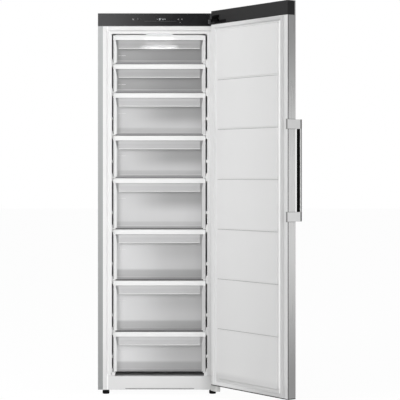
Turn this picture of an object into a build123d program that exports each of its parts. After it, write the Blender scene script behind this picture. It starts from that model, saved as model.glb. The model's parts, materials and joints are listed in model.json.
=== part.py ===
from build123d import *
import os
from math import cos, radians, sin, sqrt

# Upright freezer with its door open and eight drawers.
# Frame: millimetres, +Z up, floor at z = 0. x = 0 is the cabinet's centre line, y = 0 is the plane
# of its front flange and +Y runs to the back. The door stands open by DOOR_OPEN degrees.

os.makedirs("parts", exist_ok=True)

# ---------------------------------------------------------------- driving dimensions
CABINET_W = 595.0
CABINET_D = 590.0
CABINET_TOP = 1852.0
CABINET_BOTTOM = 22.0
SIDE_WALL = 64.0  # insulated walls, from the outside to the interior
ROOF_WALL = 36.0
REAR_WALL = 75.0
SHEET = 1.0  # sheet steel of wrapper, back panel, bay and door skin
FLANGE_W = 24.0  # steel front flange at each side
EASE = 0.3  # running gap of pieces that move past each other
PIN_EASE = 0.05  # radial gap of a pin, stud or shaft in its bore
HOLE_EASE = 0.2  # radial gap of a screw in its hole

# control housing on the front edge of the roof
HOUSING_H = 62.0
HOUSING_D = 75.0
HOUSING_WALL = 2.5
HOUSING_ROUND = 2.0
GLASS_T = 3.0
GLASS_BEVEL = 1.0
GLASS_END = 52.0  # from the cabinet's right side to the end of the front window
ICON_BOARD_W = 240.0
BOARD_POST_R = 3.5
KEY_PITCH = 48.0
KEY_COUNT = 4
KEY_W = 20.0
KEY_T = 10.0
BOARD_T = 1.6
BOARD_MARGIN = 10.0
COVER_ROUND = 1.0

# inner liner
LINER_T = 2.0
OPENING_BOTTOM = 88.0
OPENING_R = 10.0
REBATE_RIM = 22.5  # from the opening's side to the rebate's
REBATE_TOP_RIM = 18.0
REBATE_D = 10.0
REBATE_TAPER = 35.0
STEP_WALL = 60.0  # from the compressor bay's roof up to the step in the interior
STEP_FRONT_WALL = 59.0
PLINTH_SLOT_W = 336.0
PLINTH_SLOT_Z = 30.0
PLINTH_SLOT_H = 2.0
PLINTH_SLOT_D = 1.5

# compressor bay and base
BAY_D = 196.0
BAY_ROOF = 236.0
TRAY_T = 2.0
BACK_RECESS = 5.0  # from the cabinet's rear edge to the back panel
PANEL_GAP = 7.0  # room for the condenser tube between foam and back panel

# drawers, from the top down
DRAWER_SHARES = (133.0, 133.0, 200.0, 200.0, 242.0, 242.0, 242.0)  # all but the lowest, in proportion
DRAWER_GAP = 8.0
DRAWER_TOP_GAP = 6.0
DRAWER_LIFT = 19.0  # from the interior's floor to the lowest drawer
STEP_RISE = 4.0  # from the step to the top of the lowest drawer
DRAWER_SIDE = 8.0
DRAWER_FRONT = 30.0
DRAWER_REAR = 11.0  # from a drawer's rear face to the evaporator's cover
LOW_DRAWER_REAR = 9.0
BOX_WALL = 2.0
BOX_FLOOR = 2.5
BOX_ROUND = 6.0
FRAME_T = 3.0
RAIL_H = 23.0
RAIL_D = 32.0
RAIL_ROUND = 2.0
STRIP_W = 20.0
STRIP_TOP_W = 12.0
GRIP_H = 43.0
GRIP_INSET = 26.0
GRIP_SETBACK = 6.0
GRIP_ROOM = 12.0  # finger room behind the grip panel
LIP_H = 6.0

# side ledges that carry the drawers
LEDGE_W = 20.0
LEDGE_T = 6.0
LEDGE_FRONT = 24.0
BOSS_PROUD = 6.0
BOSS_H = 38.0
NUB_H = 14.0
NUB_D = 26.0
NUB_RISE = 68.0  # above the drawer's bottom, on the deeper drawers
NUB_FROM_HEIGHT = 150.0

# door
DOOR_OPEN = 125.0
DOOR_OVER = 6.0  # how far the door stands above the cabinet
DOOR_T = 46.0
DOOR_GAP = 12.0  # from the cabinet's front to the door's inner face
HINGE_INSET = 15.0
HINGE_DEPTH = 25.5  # from the door's inner face to the hinge axis
TOP_CAP_H = 66.0
BOTTOM_CAP_H = 4.0
CAP_WALL = 2.5
HEM_W = 10.0
DOOR_LINER_T = 3.0
DOOR_LINER_INSET = 1.5
PANEL_CLEAR = 19.0  # from the rebate's edge to the raised panel
PANEL_RISE = 10.0
PANEL_DROP = 8.0  # from the rebate's top to the raised panel
PANEL_TAPER = 22.0
PANEL_WALL = 2.0
FIELDS = 7
GROOVE_W = 9.0
GROOVE_D = 4.0
GASKET_W = 17.0
GASKET_BULB_W = 11.0
GASKET_BASE = 5.5
GASKET_TOP_LAND = 4.0  # from the top cap to the gasket
GASKET_FOOT = 2.0  # from the bottom cap to the gasket

# hinges
PIN_R = 4.0
LOW_PIN_R = 5.0
BUSH_WALL = 4.0
BUSH_FLANGE = 3.0
BUSH_SEAT = 4.0  # from the bottom bracket to the door
ARM_T = 14.0
ARM_RISE = 16.5  # above the shelf under the control housing
ARM_W = 32.5
ARM_SIDE = 2.0  # from the hinge axis to the arm's right side
ARM_BOSS_R = 7.0
ARM_NOSE = 14.0  # height of the bevel at the arm's nose
FOOT_Y0 = 36.0
FOOT_Y1 = 70.0
FOOT_SIDE = 7.0
FOOT_T = 3.0
NOTCH_L = 67.0
NOTCH_RISE = 16.0
NOTCH_H = 30.0
PIN_DROP = 10.0
BRACKET_T = 3.0
BRACKET_RISE = 21.0  # from the cabinet's bottom to the plate that carries the pin
BRACKET_W = 47.5
BRACKET_NOSE_R = 14.0
BRACKET_FOOT_D = 12.0
LOW_PIN_H = 16.0
LOW_BUSH_H = 14.0
SCREW_R = 2.5
SCREW_HEAD_R = 5.0
SCREW_HEAD_H = 3.0
SCREW_L = 12.0
SCREW_PITCH = 20.0
LOW_SCREW_Y = 6.0

# handle on the door's free edge
HANDLE_BOTTOM = 855.0
HANDLE_L = 464.0
BAR_W = 23.0
BAR_T = 12.0
BAR_INSET = 1.0
GRIP_GAP = 26.5
BRACKET_H = 43.0
STRAP_T = 3.0
STRAP_LIP = 11.0
STRAP_BLOCK = 27.0
BAR_ROUND = 3.0

# feet and rollers
FOOT_INSET = 37.5
FOOT_CENTRE_Y = 28.0
FOOT_R = 16.0
FOOT_H = 18.0
FOOT_ROUND = 2.0
STUD_R = 4.0
STUD_L = 34.0
NUT_R = 9.0
NUT_H = 14.0
ROLLER_R = 10.0
ROLLER_W = 18.0
ROLLER_INSET = 35.5
ROLLER_REAR = 30.0
AXLE_R = 2.5
EAR_T = 2.0
EAR_D = 12.0

# cooling parts
COMP_X = 95.0
COMP_REAR = 98.0
SHELL_R = 72.0
SHELL_Z0 = 43.0
SHELL_Z1 = 190.0
SHELL_ROUND = 40.0
SEAM_PROUD = 2.0
SEAM_H = 6.0
PLATE_W = 190.0
PLATE_D = 130.0
PLATE_T = 3.0
MOUNT_PITCH_X = 164.0
MOUNT_PITCH_Y = 104.0
MOUNT_R = 12.0
MOUNT_NECK_R = 6.0
MOUNT_CAP_R = 9.0
MOUNT_CAP_H = 4.0
RELAY_W = 29.0
RELAY_D = 46.0
RELAY_H = 48.0
RELAY_ROUND = 4.0
DRIP_W = 200.0
DRIP_D = 150.0
DRIP_H = 24.0
DRIP_WALL = 2.0
DRIP_ROUND = 8.0
DRIER_R = 11.0
DRIER_L = 80.0
DRIER_ROUND = 7.7
DRIER_X = -60.0
DRIER_DEPTH = 36.0  # from the bay's front wall
DRIER_Z = 120.0
PIPE_R = 3.0
PIPE_BEND = 9.0
SUCTION_DROP = 60.0  # from the top of the compressor's shell
CONDENSER_R = 2.5
CONDENSER_BEND = 20.0
CONDENSER_SIDE = 77.5
CONDENSER_ROOM = 152.0  # from its last pass to the cabinet's top
CONDENSER_PASSES = 12
CONDENSER_Z0 = 270.0
DRAIN_X = 0.0
DRAIN_REAR = 23.0
DRAIN_R = 9.0
DRAIN_BORE = 7.0
DRAIN_FLANGE_R = 14.0
DRAIN_FLANGE_T = 1.5
DRAIN_END = 20.0  # below the bay's roof

# evaporator and its cover
COVER_D = 66.0
COVER_T = 3.0
COVER_SIDE = 3.0
COVER_LIFT = 4.0
COVER_TOP_GAP = 6.0
COIL_SIDE = 33.5  # from the interior's side to the fins
COIL_D = 46.0
COIL_LIFT = 54.0  # above the step
COIL_H = 260.0
COIL_FINS = 26
FIN_T = 1.0
COIL_TUBE_R = 4.0
COIL_ROWS = 5
HEATER_R = 4.0
HEATER_DROP = 22.0
FAN_LIFT = 150.0  # above the coil
FAN_R = 56.0
FAN_HUB_R = 17.0
FAN_HUB_L = 12.0
FAN_BLADES = 5
FAN_BLADE_T = 2.0
BLADE_CHORD = 18.7
BLADE_ROOT = 1.0  # how far a blade reaches into the hub
FAN_PITCH = 28.0
FAN_SHAFT_R = 3.0
FAN_SHAFT_L = 9.0
FAN_MOTOR_R = 28.0
FAN_MOTOR_L = 26.0
FAN_MOTOR_ROUND = 3.0
FAN_GAP = 2.0
FAN_MOUNT_T = 4.0
FAN_MOUNT_W = 150.0
FAN_GUARD_BAR = 5.0
FAN_GUARD_PITCH = 15.0
FAN_GUARD_BARS = 7
VENT_W = 90.0
VENT_H = 8.0
VENT_PITCH = 135.0
VENT_COUNT = 3

# ceiling lamp
LAMP_W = 122.0
LAMP_D = 35.0
LAMP_Y = 57.0
LAMP_RIM = 4.0
LAMP_RIM_T = 2.0
LENS_H = 6.0
LAMP_POCKET_H = 16.0
LED_PITCH = 18.0
LED_COUNT = 6
LED_SIZE = 3.0

# mains inlet
INLET_INSET = 67.5
INLET_W = 30.0
INLET_D = 24.0
INLET_H = 28.0
INLET_ROUND = 6.0
INLET_BORE = 4.5

# ---------------------------------------------------------------- worked-out places
HALF = CABINET_W / 2
INSIDE = HALF - SHEET
SHELF_Z = CABINET_TOP - HOUSING_H
FLANGE_IN = HALF - FLANGE_W
OPENING_W = CABINET_W - 2 * SIDE_WALL
OPENING_TOP = SHELF_Z - ROOF_WALL
REBATE_W = OPENING_W + 2 * REBATE_RIM
REBATE_TOP = OPENING_TOP + REBATE_TOP_RIM
INTERIOR_D = CABINET_D - REAR_WALL
BAY_FRONT = CABINET_D - BAY_D
STEP_D = BAY_FRONT - STEP_FRONT_WALL  # depth of the interior below the step
STEP_Z = BAY_ROOF + STEP_WALL
PANEL_Y = CABINET_D - BACK_RECESS - SHEET
FOAM_BACK = PANEL_Y - PANEL_GAP
TRAY_TOP = CABINET_BOTTOM + TRAY_T
COVER_Y = INTERIOR_D - COVER_D
DRAWER_W = OPENING_W - 2 * DRAWER_SIDE
LOWEST_DRAWER = OPENING_BOTTOM + DRAWER_LIFT
HINGE_X = HALF - HINGE_INSET
HINGE_Y = -DOOR_GAP - HINGE_DEPTH
ARM_LEFT = HINGE_X + ARM_SIDE - ARM_W
ARM_RIGHT = HINGE_X + ARM_SIDE
ARM_Z = SHELF_Z + ARM_RISE
NOTCH_Z0 = SHELF_Z + NOTCH_RISE
NOTCH_Z1 = NOTCH_Z0 + NOTCH_H
BRACKET_L = HALF - BRACKET_W
BRACKET_Z = CABINET_BOTTOM + BRACKET_RISE
HOUSING_FRONT = -GLASS_T
DOOR_BOTTOM = BRACKET_Z + BRACKET_T + BUSH_SEAT
DOOR_TOP = CABINET_TOP + DOOR_OVER
CAP_Z = DOOR_TOP - TOP_CAP_H
DOOR_FOOT = DOOR_BOTTOM + BOTTOM_CAP_H
LOW_BUSH_TOP = DOOR_BOTTOM + LOW_BUSH_H
FOOT_X = HALF - FOOT_INSET
ROLLER_X = HALF - ROLLER_INSET
ROLLER_Y = CABINET_D - ROLLER_REAR
COMP_Y = CABINET_D - COMP_REAR
DRIER_Y = BAY_FRONT + DRIER_DEPTH
DRAIN_Y = INTERIOR_D - DRAIN_REAR
COIL_Z0 = STEP_Z + COIL_LIFT
COIL_W = OPENING_W - 2 * COIL_SIDE
FAN_Z = COIL_Z0 + COIL_H + FAN_LIFT
INLET_X = INLET_INSET - HALF

# the door's own axes: u from its hinge to the right, v from the hinge axis to its inner face
U_HINGE = HINGE_INSET
U_FREE = HINGE_INSET - CABINET_W
U_MIDDLE = (U_HINGE + U_FREE) / 2
V_IN = HINGE_DEPTH
V_OUT = HINGE_DEPTH - DOOR_T
V_LINER = V_IN - DOOR_LINER_T
DOOR = Plane(
    origin=(HINGE_X, HINGE_Y, 0),
    x_dir=(cos(radians(DOOR_OPEN)), sin(radians(DOOR_OPEN)), 0),
    z_dir=(0, 0, 1),
)


def at_depth(y):
    """The upright plane at a depth; sketches on it read x and z, and face the front."""
    return Plane.XZ.offset(-y)


def at_side(x):
    """The upright plane across the cabinet; sketches on it read y and z, and face right."""
    return Plane.YZ.offset(x)


def on_door(v, facing_room=False):
    """The plane along the door at v, centred on its width, facing out or to the gasket side."""
    side = DOOR.y_dir if facing_room else -DOOR.y_dir
    along = -DOOR.x_dir if facing_room else DOOR.x_dir
    return Plane(origin=DOOR.from_local_coords((U_MIDDLE, v, 0)), x_dir=along, z_dir=side)


def slab(x, y, z, mode=Mode.ADD):
    """A box between two limits on each axis of the part being built."""
    middle = Vector(*((low + high) / 2 for low, high in (x, y, z)))
    with Locations(middle):
        Box(x[1] - x[0], y[1] - y[0], z[1] - z[0], mode=mode)


def rod(x, y, z, radius, mode=Mode.ADD):
    """An upright cylinder between two heights."""
    with Locations((x, y, z[0])):
        Cylinder(
            radius,
            z[1] - z[0],
            align=(Align.CENTER, Align.CENTER, Align.MIN),
            mode=mode,
        )


def save(piece, name):
    """Labels a finished piece and writes its STEP file."""
    piece.part.label = name
    export_step(piece.part, f"parts/{name}.step")


def drawer_spans():
    """The bottom and top of each drawer, from the top one down."""
    lowest_top = STEP_Z + STEP_RISE
    gaps = DRAWER_TOP_GAP + len(DRAWER_SHARES) * DRAWER_GAP
    room = OPENING_TOP - lowest_top - gaps
    spans, bottom = [(LOWEST_DRAWER, lowest_top)], lowest_top + DRAWER_GAP
    for share in reversed(DRAWER_SHARES):
        height = room * share / sum(DRAWER_SHARES)
        spans.insert(0, (bottom, bottom + height))
        bottom += height + DRAWER_GAP
    return spans


def drawer_back(index):
    """The depth of a drawer's rear face; the lowest one stops before the compressor bay."""
    if index == len(DRAWER_SHARES):
        return STEP_D - LOW_DRAWER_REAR
    return COVER_Y - DRAWER_REAR


# screw places: the top hinge's foot on the housing's floor, and the bottom hinge's under the cabinet
ARM_SCREWS = [
    ((ARM_LEFT + ARM_RIGHT - SCREW_PITCH) / 2, (FOOT_Y0 + FOOT_Y1) / 2 + FOOT_T),
    ((ARM_LEFT + ARM_RIGHT + SCREW_PITCH) / 2, (FOOT_Y0 + FOOT_Y1) / 2 + FOOT_T),
]
BRACKET_SCREWS = [
    ((BRACKET_L + HALF - SCREW_PITCH) / 2, LOW_SCREW_Y),
    ((BRACKET_L + HALF + SCREW_PITCH) / 2, LOW_SCREW_Y),
]
BRACKET_FOOT_Z = CABINET_BOTTOM - BRACKET_T


def bore_bracket_screws():
    """Cuts the bottom hinge's screw holes up from under its foot."""
    for x, y in BRACKET_SCREWS:
        span = (BRACKET_FOOT_Z, BRACKET_FOOT_Z + SCREW_L + EASE)
        rod(x, y, span, SCREW_R + HOLE_EASE, mode=Mode.SUBTRACT)


def bore_arm_screws():
    """Cuts the top hinge's screw holes down from its foot."""
    for x, y in ARM_SCREWS:
        span = (SHELF_Z + FOOT_T - SCREW_L - EASE, SHELF_Z + FOOT_T)
        rod(x, y, span, SCREW_R + HOLE_EASE, mode=Mode.SUBTRACT)


# ---------------------------------------------------------------- cabinet shell
def side_profile(gap):
    """The cabinet's side view, drawn in from the outside by a gap and open to back and floor."""
    low = CABINET_BOTTOM - gap
    return [
        (gap, low),
        (gap, SHELF_Z - gap),
        (HOUSING_D + gap, SHELF_Z - gap),
        (HOUSING_D + gap, CABINET_TOP - gap),
        (CABINET_D + gap, CABINET_TOP - gap),
        (CABINET_D + gap, low),
    ]


with BuildPart() as outer_wrapper:
    with BuildSketch(at_side(-HALF)):
        with BuildLine():
            Polyline(side_profile(0), close=True)
        make_face()
    extrude(amount=CABINET_W)
    with BuildSketch(at_side(-INSIDE)):
        with BuildLine():
            Polyline(side_profile(SHEET), close=True)
        make_face()
    extrude(amount=2 * INSIDE, mode=Mode.SUBTRACT)
    slab(
        (-FLANGE_IN, FLANGE_IN),
        (-SHEET, SHEET),
        (CABINET_BOTTOM - SHEET, SHELF_Z - SHEET),
        mode=Mode.SUBTRACT,
    )
    bore_arm_screws()
save(outer_wrapper, "outer_wrapper")

with BuildPart() as back_panel:
    slab((-INSIDE, INSIDE), (PANEL_Y, PANEL_Y + SHEET), (BAY_ROOF - SHEET, CABINET_TOP - SHEET))
save(back_panel, "back_panel")

with BuildPart() as base_tray:
    slab((-INSIDE, INSIDE), (LINER_T, CABINET_D), (CABINET_BOTTOM, TRAY_TOP))
    for x in (-FOOT_X, FOOT_X):
        rod(x, FOOT_CENTRE_Y, (CABINET_BOTTOM, TRAY_TOP + NUT_H), NUT_R)
        bore = (CABINET_BOTTOM, TRAY_TOP + NUT_H)
        rod(x, FOOT_CENTRE_Y, bore, STUD_R + PIN_EASE, mode=Mode.SUBTRACT)
    bore_bracket_screws()
save(base_tray, "base_tray")


def interior(grow, mode):
    """The interior's hollow, grown by a wall: front and rear of the step, and the sloping rebate."""
    front = LINER_T if grow else 0
    for low, first, last in (
        (OPENING_BOTTOM, front, STEP_D),
        (STEP_Z, STEP_D - OPENING_R, INTERIOR_D),
    ):
        height = OPENING_TOP - low + 2 * grow
        with BuildSketch(at_depth(last + grow)) as hollow:
            with Locations((0, (OPENING_TOP + low) / 2)):
                RectangleRounded(OPENING_W + 2 * grow, height, OPENING_R + grow)
        extrude(hollow.sketch, amount=last + grow - first, mode=mode)
    with BuildSketch(Plane(origin=(0, front, 0), x_dir=(-1, 0, 0), z_dir=(0, 1, 0))) as rebate:
        with Locations((0, (OPENING_BOTTOM + REBATE_TOP) / 2)):
            Rectangle(REBATE_W + 2 * grow, REBATE_TOP - OPENING_BOTTOM + 2 * grow)
    extrude(rebate.sketch, amount=REBATE_D + grow - front, taper=REBATE_TAPER, mode=mode)


def at_wall(side, reach):
    """The span in x from one side wall of the interior inwards by a reach."""
    wall = OPENING_W / 2
    return (wall - reach, wall) if side > 0 else (-wall, reach - wall)


def ledge(side, top, back):
    """One side ledge under a drawer, with the boss that carries it along the wall."""
    slab(at_wall(side, LEDGE_W), (LEDGE_FRONT, back), (top - LEDGE_T, top))
    middle = top - LEDGE_T / 2
    low = max(middle - BOSS_H / 2, OPENING_BOTTOM + OPENING_R)
    blocked = low < STEP_Z + OPENING_R
    boss_back = min(back, STEP_D) if blocked else back
    slab(at_wall(side, BOSS_PROUD), (LEDGE_FRONT, boss_back), (low, middle + BOSS_H / 2))


with BuildPart() as inner_liner:
    slab((-FLANGE_IN, FLANGE_IN), (0, LINER_T), (CABINET_BOTTOM, SHELF_Z - SHEET))
    interior(LINER_T, Mode.ADD)
    interior(0, Mode.SUBTRACT)
    slab(
        (-PLINTH_SLOT_W / 2, PLINTH_SLOT_W / 2),
        (0, PLINTH_SLOT_D),
        (PLINTH_SLOT_Z, PLINTH_SLOT_Z + PLINTH_SLOT_H),
        mode=Mode.SUBTRACT,
    )
    slab(
        (-LAMP_W / 2, LAMP_W / 2),
        (LAMP_Y - LAMP_D / 2, LAMP_Y + LAMP_D / 2),
        (OPENING_TOP - LINER_T, OPENING_TOP + 2 * LINER_T),
        mode=Mode.SUBTRACT,
    )
    for number, (bottom, top) in enumerate(drawer_spans()):
        for side in (-1, 1):
            ledge(side, bottom - EASE, drawer_back(number))
            if top - bottom > NUB_FROM_HEIGHT:
                nub_z = (bottom + NUB_RISE, bottom + NUB_RISE + NUB_H)
                slab(at_wall(side, BOSS_PROUD), (LEDGE_FRONT, LEDGE_FRONT + NUB_D), nub_z)
    rod(DRAIN_X, DRAIN_Y, (STEP_Z - LINER_T, STEP_Z), DRAIN_R, mode=Mode.SUBTRACT)
save(inner_liner, "inner_liner")

with BuildPart() as bay_sheet:
    with BuildSketch(at_side(-INSIDE)):
        with BuildLine():
            Polyline(
                (BAY_FRONT - SHEET, TRAY_TOP),
                (BAY_FRONT - SHEET, BAY_ROOF),
                (PANEL_Y, BAY_ROOF),
                (PANEL_Y, BAY_ROOF - SHEET),
                (BAY_FRONT, BAY_ROOF - SHEET),
                (BAY_FRONT, TRAY_TOP),
                close=True,
            )
        make_face()
    extrude(amount=2 * INSIDE)
    rod(DRAIN_X, DRAIN_Y, (BAY_ROOF - SHEET, BAY_ROOF), DRAIN_R, mode=Mode.SUBTRACT)
save(bay_sheet, "bay_sheet")

with BuildPart() as cabinet_foam:
    with BuildSketch(at_side(-INSIDE)):
        with BuildLine():
            Polyline(
                (LINER_T, TRAY_TOP),
                (LINER_T, SHELF_Z - SHEET),
                (HOUSING_D + SHEET, SHELF_Z - SHEET),
                (HOUSING_D + SHEET, CABINET_TOP - SHEET),
                (FOAM_BACK, CABINET_TOP - SHEET),
                (FOAM_BACK, BAY_ROOF),
                (BAY_FRONT - SHEET, BAY_ROOF),
                (BAY_FRONT - SHEET, TRAY_TOP),
                close=True,
            )
        make_face()
    extrude(amount=2 * INSIDE)
    interior(LINER_T, Mode.SUBTRACT)
    slab(
        (-LAMP_W / 2, LAMP_W / 2),
        (LAMP_Y - LAMP_D / 2, LAMP_Y + LAMP_D / 2),
        (OPENING_TOP, OPENING_TOP + LAMP_POCKET_H),
        mode=Mode.SUBTRACT,
    )
    for x in (-FOOT_X, FOOT_X):
        rod(x, FOOT_CENTRE_Y, (TRAY_TOP, TRAY_TOP + NUT_H), NUT_R, mode=Mode.SUBTRACT)
    rod(DRAIN_X, DRAIN_Y, (BAY_ROOF, STEP_Z), DRAIN_R, mode=Mode.SUBTRACT)
    bore_bracket_screws()
    bore_arm_screws()
save(cabinet_foam, "cabinet_foam")

# ---------------------------------------------------------------- control housing and lamp
ARM_SLOT = (ARM_LEFT - FOOT_T, ARM_RIGHT + FOOT_T)
COVER_X = (ARM_LEFT - HINGE_INSET, HALF - HOUSING_WALL)
COVER_FRONT = HOUSING_WALL + FOOT_T

with BuildPart() as control_housing:
    slab((-HALF, HALF), (0, HOUSING_D), (SHELF_Z, CABINET_TOP))
    slab((HALF - GLASS_END, HALF), (HOUSING_FRONT, 0), (SHELF_Z, CABINET_TOP))
    slab(
        (-HALF + HOUSING_WALL, HALF - HOUSING_WALL),
        (HOUSING_WALL, HOUSING_D),
        (SHELF_Z, CABINET_TOP - HOUSING_WALL),
        mode=Mode.SUBTRACT,
    )
    slab(
        ARM_SLOT,
        (HOUSING_FRONT, HOUSING_WALL),
        (ARM_Z - FOOT_T, ARM_Z + ARM_T + FOOT_T),
        mode=Mode.SUBTRACT,
    )
    slab(
        COVER_X,
        (COVER_FRONT, HOUSING_D),
        (CABINET_TOP - HOUSING_WALL, CABINET_TOP),
        mode=Mode.SUBTRACT,
    )
    top_edges = control_housing.edges().filter_by(Axis.X).group_by(Axis.Z)[-1]
    fillet(top_edges.sort_by(Axis.Y)[0], HOUSING_ROUND)
save(control_housing, "control_housing")

with BuildPart() as control_glass:
    slab((-HALF, HALF - GLASS_END), (HOUSING_FRONT, 0), (SHELF_Z, CABINET_TOP))
    chamfer(control_glass.faces().sort_by(Axis.Y)[0].edges(), GLASS_BEVEL)
save(control_glass, "control_glass")

with BuildPart() as control_board:
    board_x = (-ICON_BOARD_W / 2, ICON_BOARD_W / 2)
    board_z = (SHELF_Z + BOARD_MARGIN, CABINET_TOP - BOARD_MARGIN)
    slab(board_x, (HOUSING_WALL + FOOT_T, HOUSING_WALL + FOOT_T + BOARD_T), board_z)
    with BuildSketch(at_depth(HOUSING_WALL + FOOT_T)):
        with Locations((0, (SHELF_Z + CABINET_TOP) / 2)):
            with GridLocations(ICON_BOARD_W - 2 * BOARD_MARGIN, 2 * BOARD_MARGIN, 2, 2):
                Circle(BOARD_POST_R)
    extrude(amount=FOOT_T)
    with BuildSketch(at_depth(HOUSING_WALL + FOOT_T + BOARD_T)):
        with Locations((0, (SHELF_Z + CABINET_TOP) / 2)):
            with GridLocations(KEY_PITCH, 1, KEY_COUNT, 1):
                Rectangle(KEY_W, KEY_T)
    extrude(amount=-KEY_T)
save(control_board, "control_board")

with BuildPart() as hinge_cover:
    slab(COVER_X, (COVER_FRONT, HOUSING_D), (CABINET_TOP - HOUSING_WALL, CABINET_TOP))
    fillet(hinge_cover.faces().sort_by(Axis.Z)[-1].edges().filter_by(Axis.X), COVER_ROUND)
save(hinge_cover, "hinge_cover")

with BuildPart() as lamp_lens:
    rim_x = LAMP_W / 2 + LAMP_RIM
    rim_y = LAMP_D / 2 + LAMP_RIM
    slab(
        (-rim_x, rim_x),
        (LAMP_Y - rim_y, LAMP_Y + rim_y),
        (OPENING_TOP - LAMP_RIM_T, OPENING_TOP),
    )
    fillet(lamp_lens.faces().sort_by(Axis.Z)[0].edges(), LAMP_RIM_T / 2)
    slab(
        (-LAMP_W / 2 + EASE, LAMP_W / 2 - EASE),
        (LAMP_Y - LAMP_D / 2 + EASE, LAMP_Y + LAMP_D / 2 - EASE),
        (OPENING_TOP, OPENING_TOP + LENS_H),
    )
save(lamp_lens, "lamp_lens")

with BuildPart() as lamp_board:
    board_low = OPENING_TOP + LENS_H
    slab(
        (-LAMP_W / 2 + LAMP_RIM, LAMP_W / 2 - LAMP_RIM),
        (LAMP_Y - LAMP_D / 2 + LAMP_RIM, LAMP_Y + LAMP_D / 2 - LAMP_RIM),
        (board_low, board_low + BOARD_T),
    )
    with BuildSketch(Plane.XY.offset(board_low + BOARD_T)):
        with Locations((0, LAMP_Y)):
            with GridLocations(LED_PITCH, 1, LED_COUNT, 1):
                Rectangle(LED_SIZE, LED_SIZE)
    extrude(amount=LED_SIZE / 2)
save(lamp_board, "lamp_board")

# ---------------------------------------------------------------- hinges
with BuildPart() as top_hinge_arm:
    with BuildSketch(Plane.XY.offset(ARM_Z)):
        with BuildLine():
            Polyline(
                (ARM_LEFT, FOOT_Y0 + FOOT_T),
                (ARM_RIGHT, FOOT_Y0 + FOOT_T),
                (ARM_RIGHT, HINGE_Y),
                (HINGE_X - ARM_BOSS_R, HINGE_Y),
                (ARM_LEFT, HINGE_Y + ARM_NOSE + ARM_BOSS_R),
                close=True,
            )
        make_face()
        with Locations((HINGE_X, HINGE_Y)):
            Circle(ARM_BOSS_R)
    extrude(amount=ARM_T)
    rod(HINGE_X, HINGE_Y, (NOTCH_Z0 - PIN_DROP, ARM_Z), PIN_R)
    slab(
        (ARM_LEFT, ARM_RIGHT),
        (FOOT_Y0, FOOT_Y0 + FOOT_T),
        (SHELF_Z, ARM_Z + ARM_T),
    )
    slab(
        (ARM_LEFT - FOOT_SIDE, ARM_RIGHT + FOOT_SIDE),
        (FOOT_Y0, FOOT_Y1),
        (SHELF_Z, SHELF_Z + FOOT_T),
    )
    bore_arm_screws()
save(top_hinge_arm, "top_hinge_arm")

with BuildPart() as bottom_hinge_bracket:
    for shrink, low in ((0, BRACKET_FOOT_Z), (BRACKET_T, BRACKET_FOOT_Z - BRACKET_T)):
        with BuildSketch(Plane.XY.offset(low)) as nose:
            with BuildLine():
                Polyline(
                    (BRACKET_L + shrink, -shrink),
                    (HALF - shrink, -shrink),
                    (HINGE_X + BRACKET_NOSE_R - shrink, HINGE_Y),
                    (HINGE_X - BRACKET_NOSE_R + shrink, HINGE_Y),
                    close=True,
                )
            make_face()
            with Locations((HINGE_X, HINGE_Y)):
                Circle(BRACKET_NOSE_R - shrink)
        rise = BRACKET_Z + BRACKET_T - shrink - low
        extrude(nose.sketch, amount=rise, mode=Mode.SUBTRACT if shrink else Mode.ADD)
    slab((BRACKET_L, HALF), (-BRACKET_T, BRACKET_FOOT_D), (BRACKET_FOOT_Z, CABINET_BOTTOM))
    bracket_top = BRACKET_Z + BRACKET_T
    rod(HINGE_X, HINGE_Y, (bracket_top, bracket_top + LOW_PIN_H), LOW_PIN_R)
    bore_bracket_screws()
save(bottom_hinge_bracket, "bottom_hinge_bracket")

with BuildPart() as hinge_screws:
    for x, y in ARM_SCREWS:
        head_low = SHELF_Z + FOOT_T
        rod(x, y, (head_low, head_low + SCREW_HEAD_H), SCREW_HEAD_R)
        rod(x, y, (head_low - SCREW_L, head_low), SCREW_R)
    for x, y in BRACKET_SCREWS:
        rod(x, y, (BRACKET_FOOT_Z - SCREW_HEAD_H, BRACKET_FOOT_Z), SCREW_HEAD_R)
        rod(x, y, (BRACKET_FOOT_Z, BRACKET_FOOT_Z + SCREW_L), SCREW_R)
save(hinge_screws, "hinge_screws")

# ---------------------------------------------------------------- feet and rollers


def foot(x):
    """A levelling foot: a ribbed pad with a threaded stud."""
    with BuildPart() as piece:
        rod(x, FOOT_CENTRE_Y, (0, FOOT_H), FOOT_R)
        fillet(piece.edges().filter_by(GeomType.CIRCLE), FOOT_ROUND)
        rod(x, FOOT_CENTRE_Y, (FOOT_H, STUD_L), STUD_R)
    return piece


def roller(x):
    """A rear roller with its axle bore, on a level axis across the cabinet."""
    with BuildPart() as piece:
        with BuildSketch(at_side(x - ROLLER_W / 2)):
            with Locations((ROLLER_Y, ROLLER_R)):
                Circle(ROLLER_R)
                Circle(AXLE_R + PIN_EASE, mode=Mode.SUBTRACT)
        extrude(amount=ROLLER_W)
    return piece


for name, side in (("left", -1), ("right", 1)):
    save(foot(side * FOOT_X), f"{name}_foot")
    save(roller(side * ROLLER_X), f"{name}_roller")

with BuildPart() as roller_brackets:
    reach = ROLLER_W / 2 + EASE + EAR_T
    for x in (-ROLLER_X, ROLLER_X):
        for ear in (x - reach, x + reach - EAR_T):
            with BuildSketch(at_side(ear)):
                with Locations((ROLLER_Y, (ROLLER_R + CABINET_BOTTOM) / 2)):
                    Rectangle(EAR_D, CABINET_BOTTOM - ROLLER_R)
                with Locations((ROLLER_Y, ROLLER_R)):
                    Circle(EAR_D / 2)
            extrude(amount=EAR_T)
        with BuildSketch(at_side(x - reach)):
            with Locations((ROLLER_Y, ROLLER_R)):
                Circle(AXLE_R)
        extrude(amount=2 * reach)
save(roller_brackets, "roller_brackets")

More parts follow.
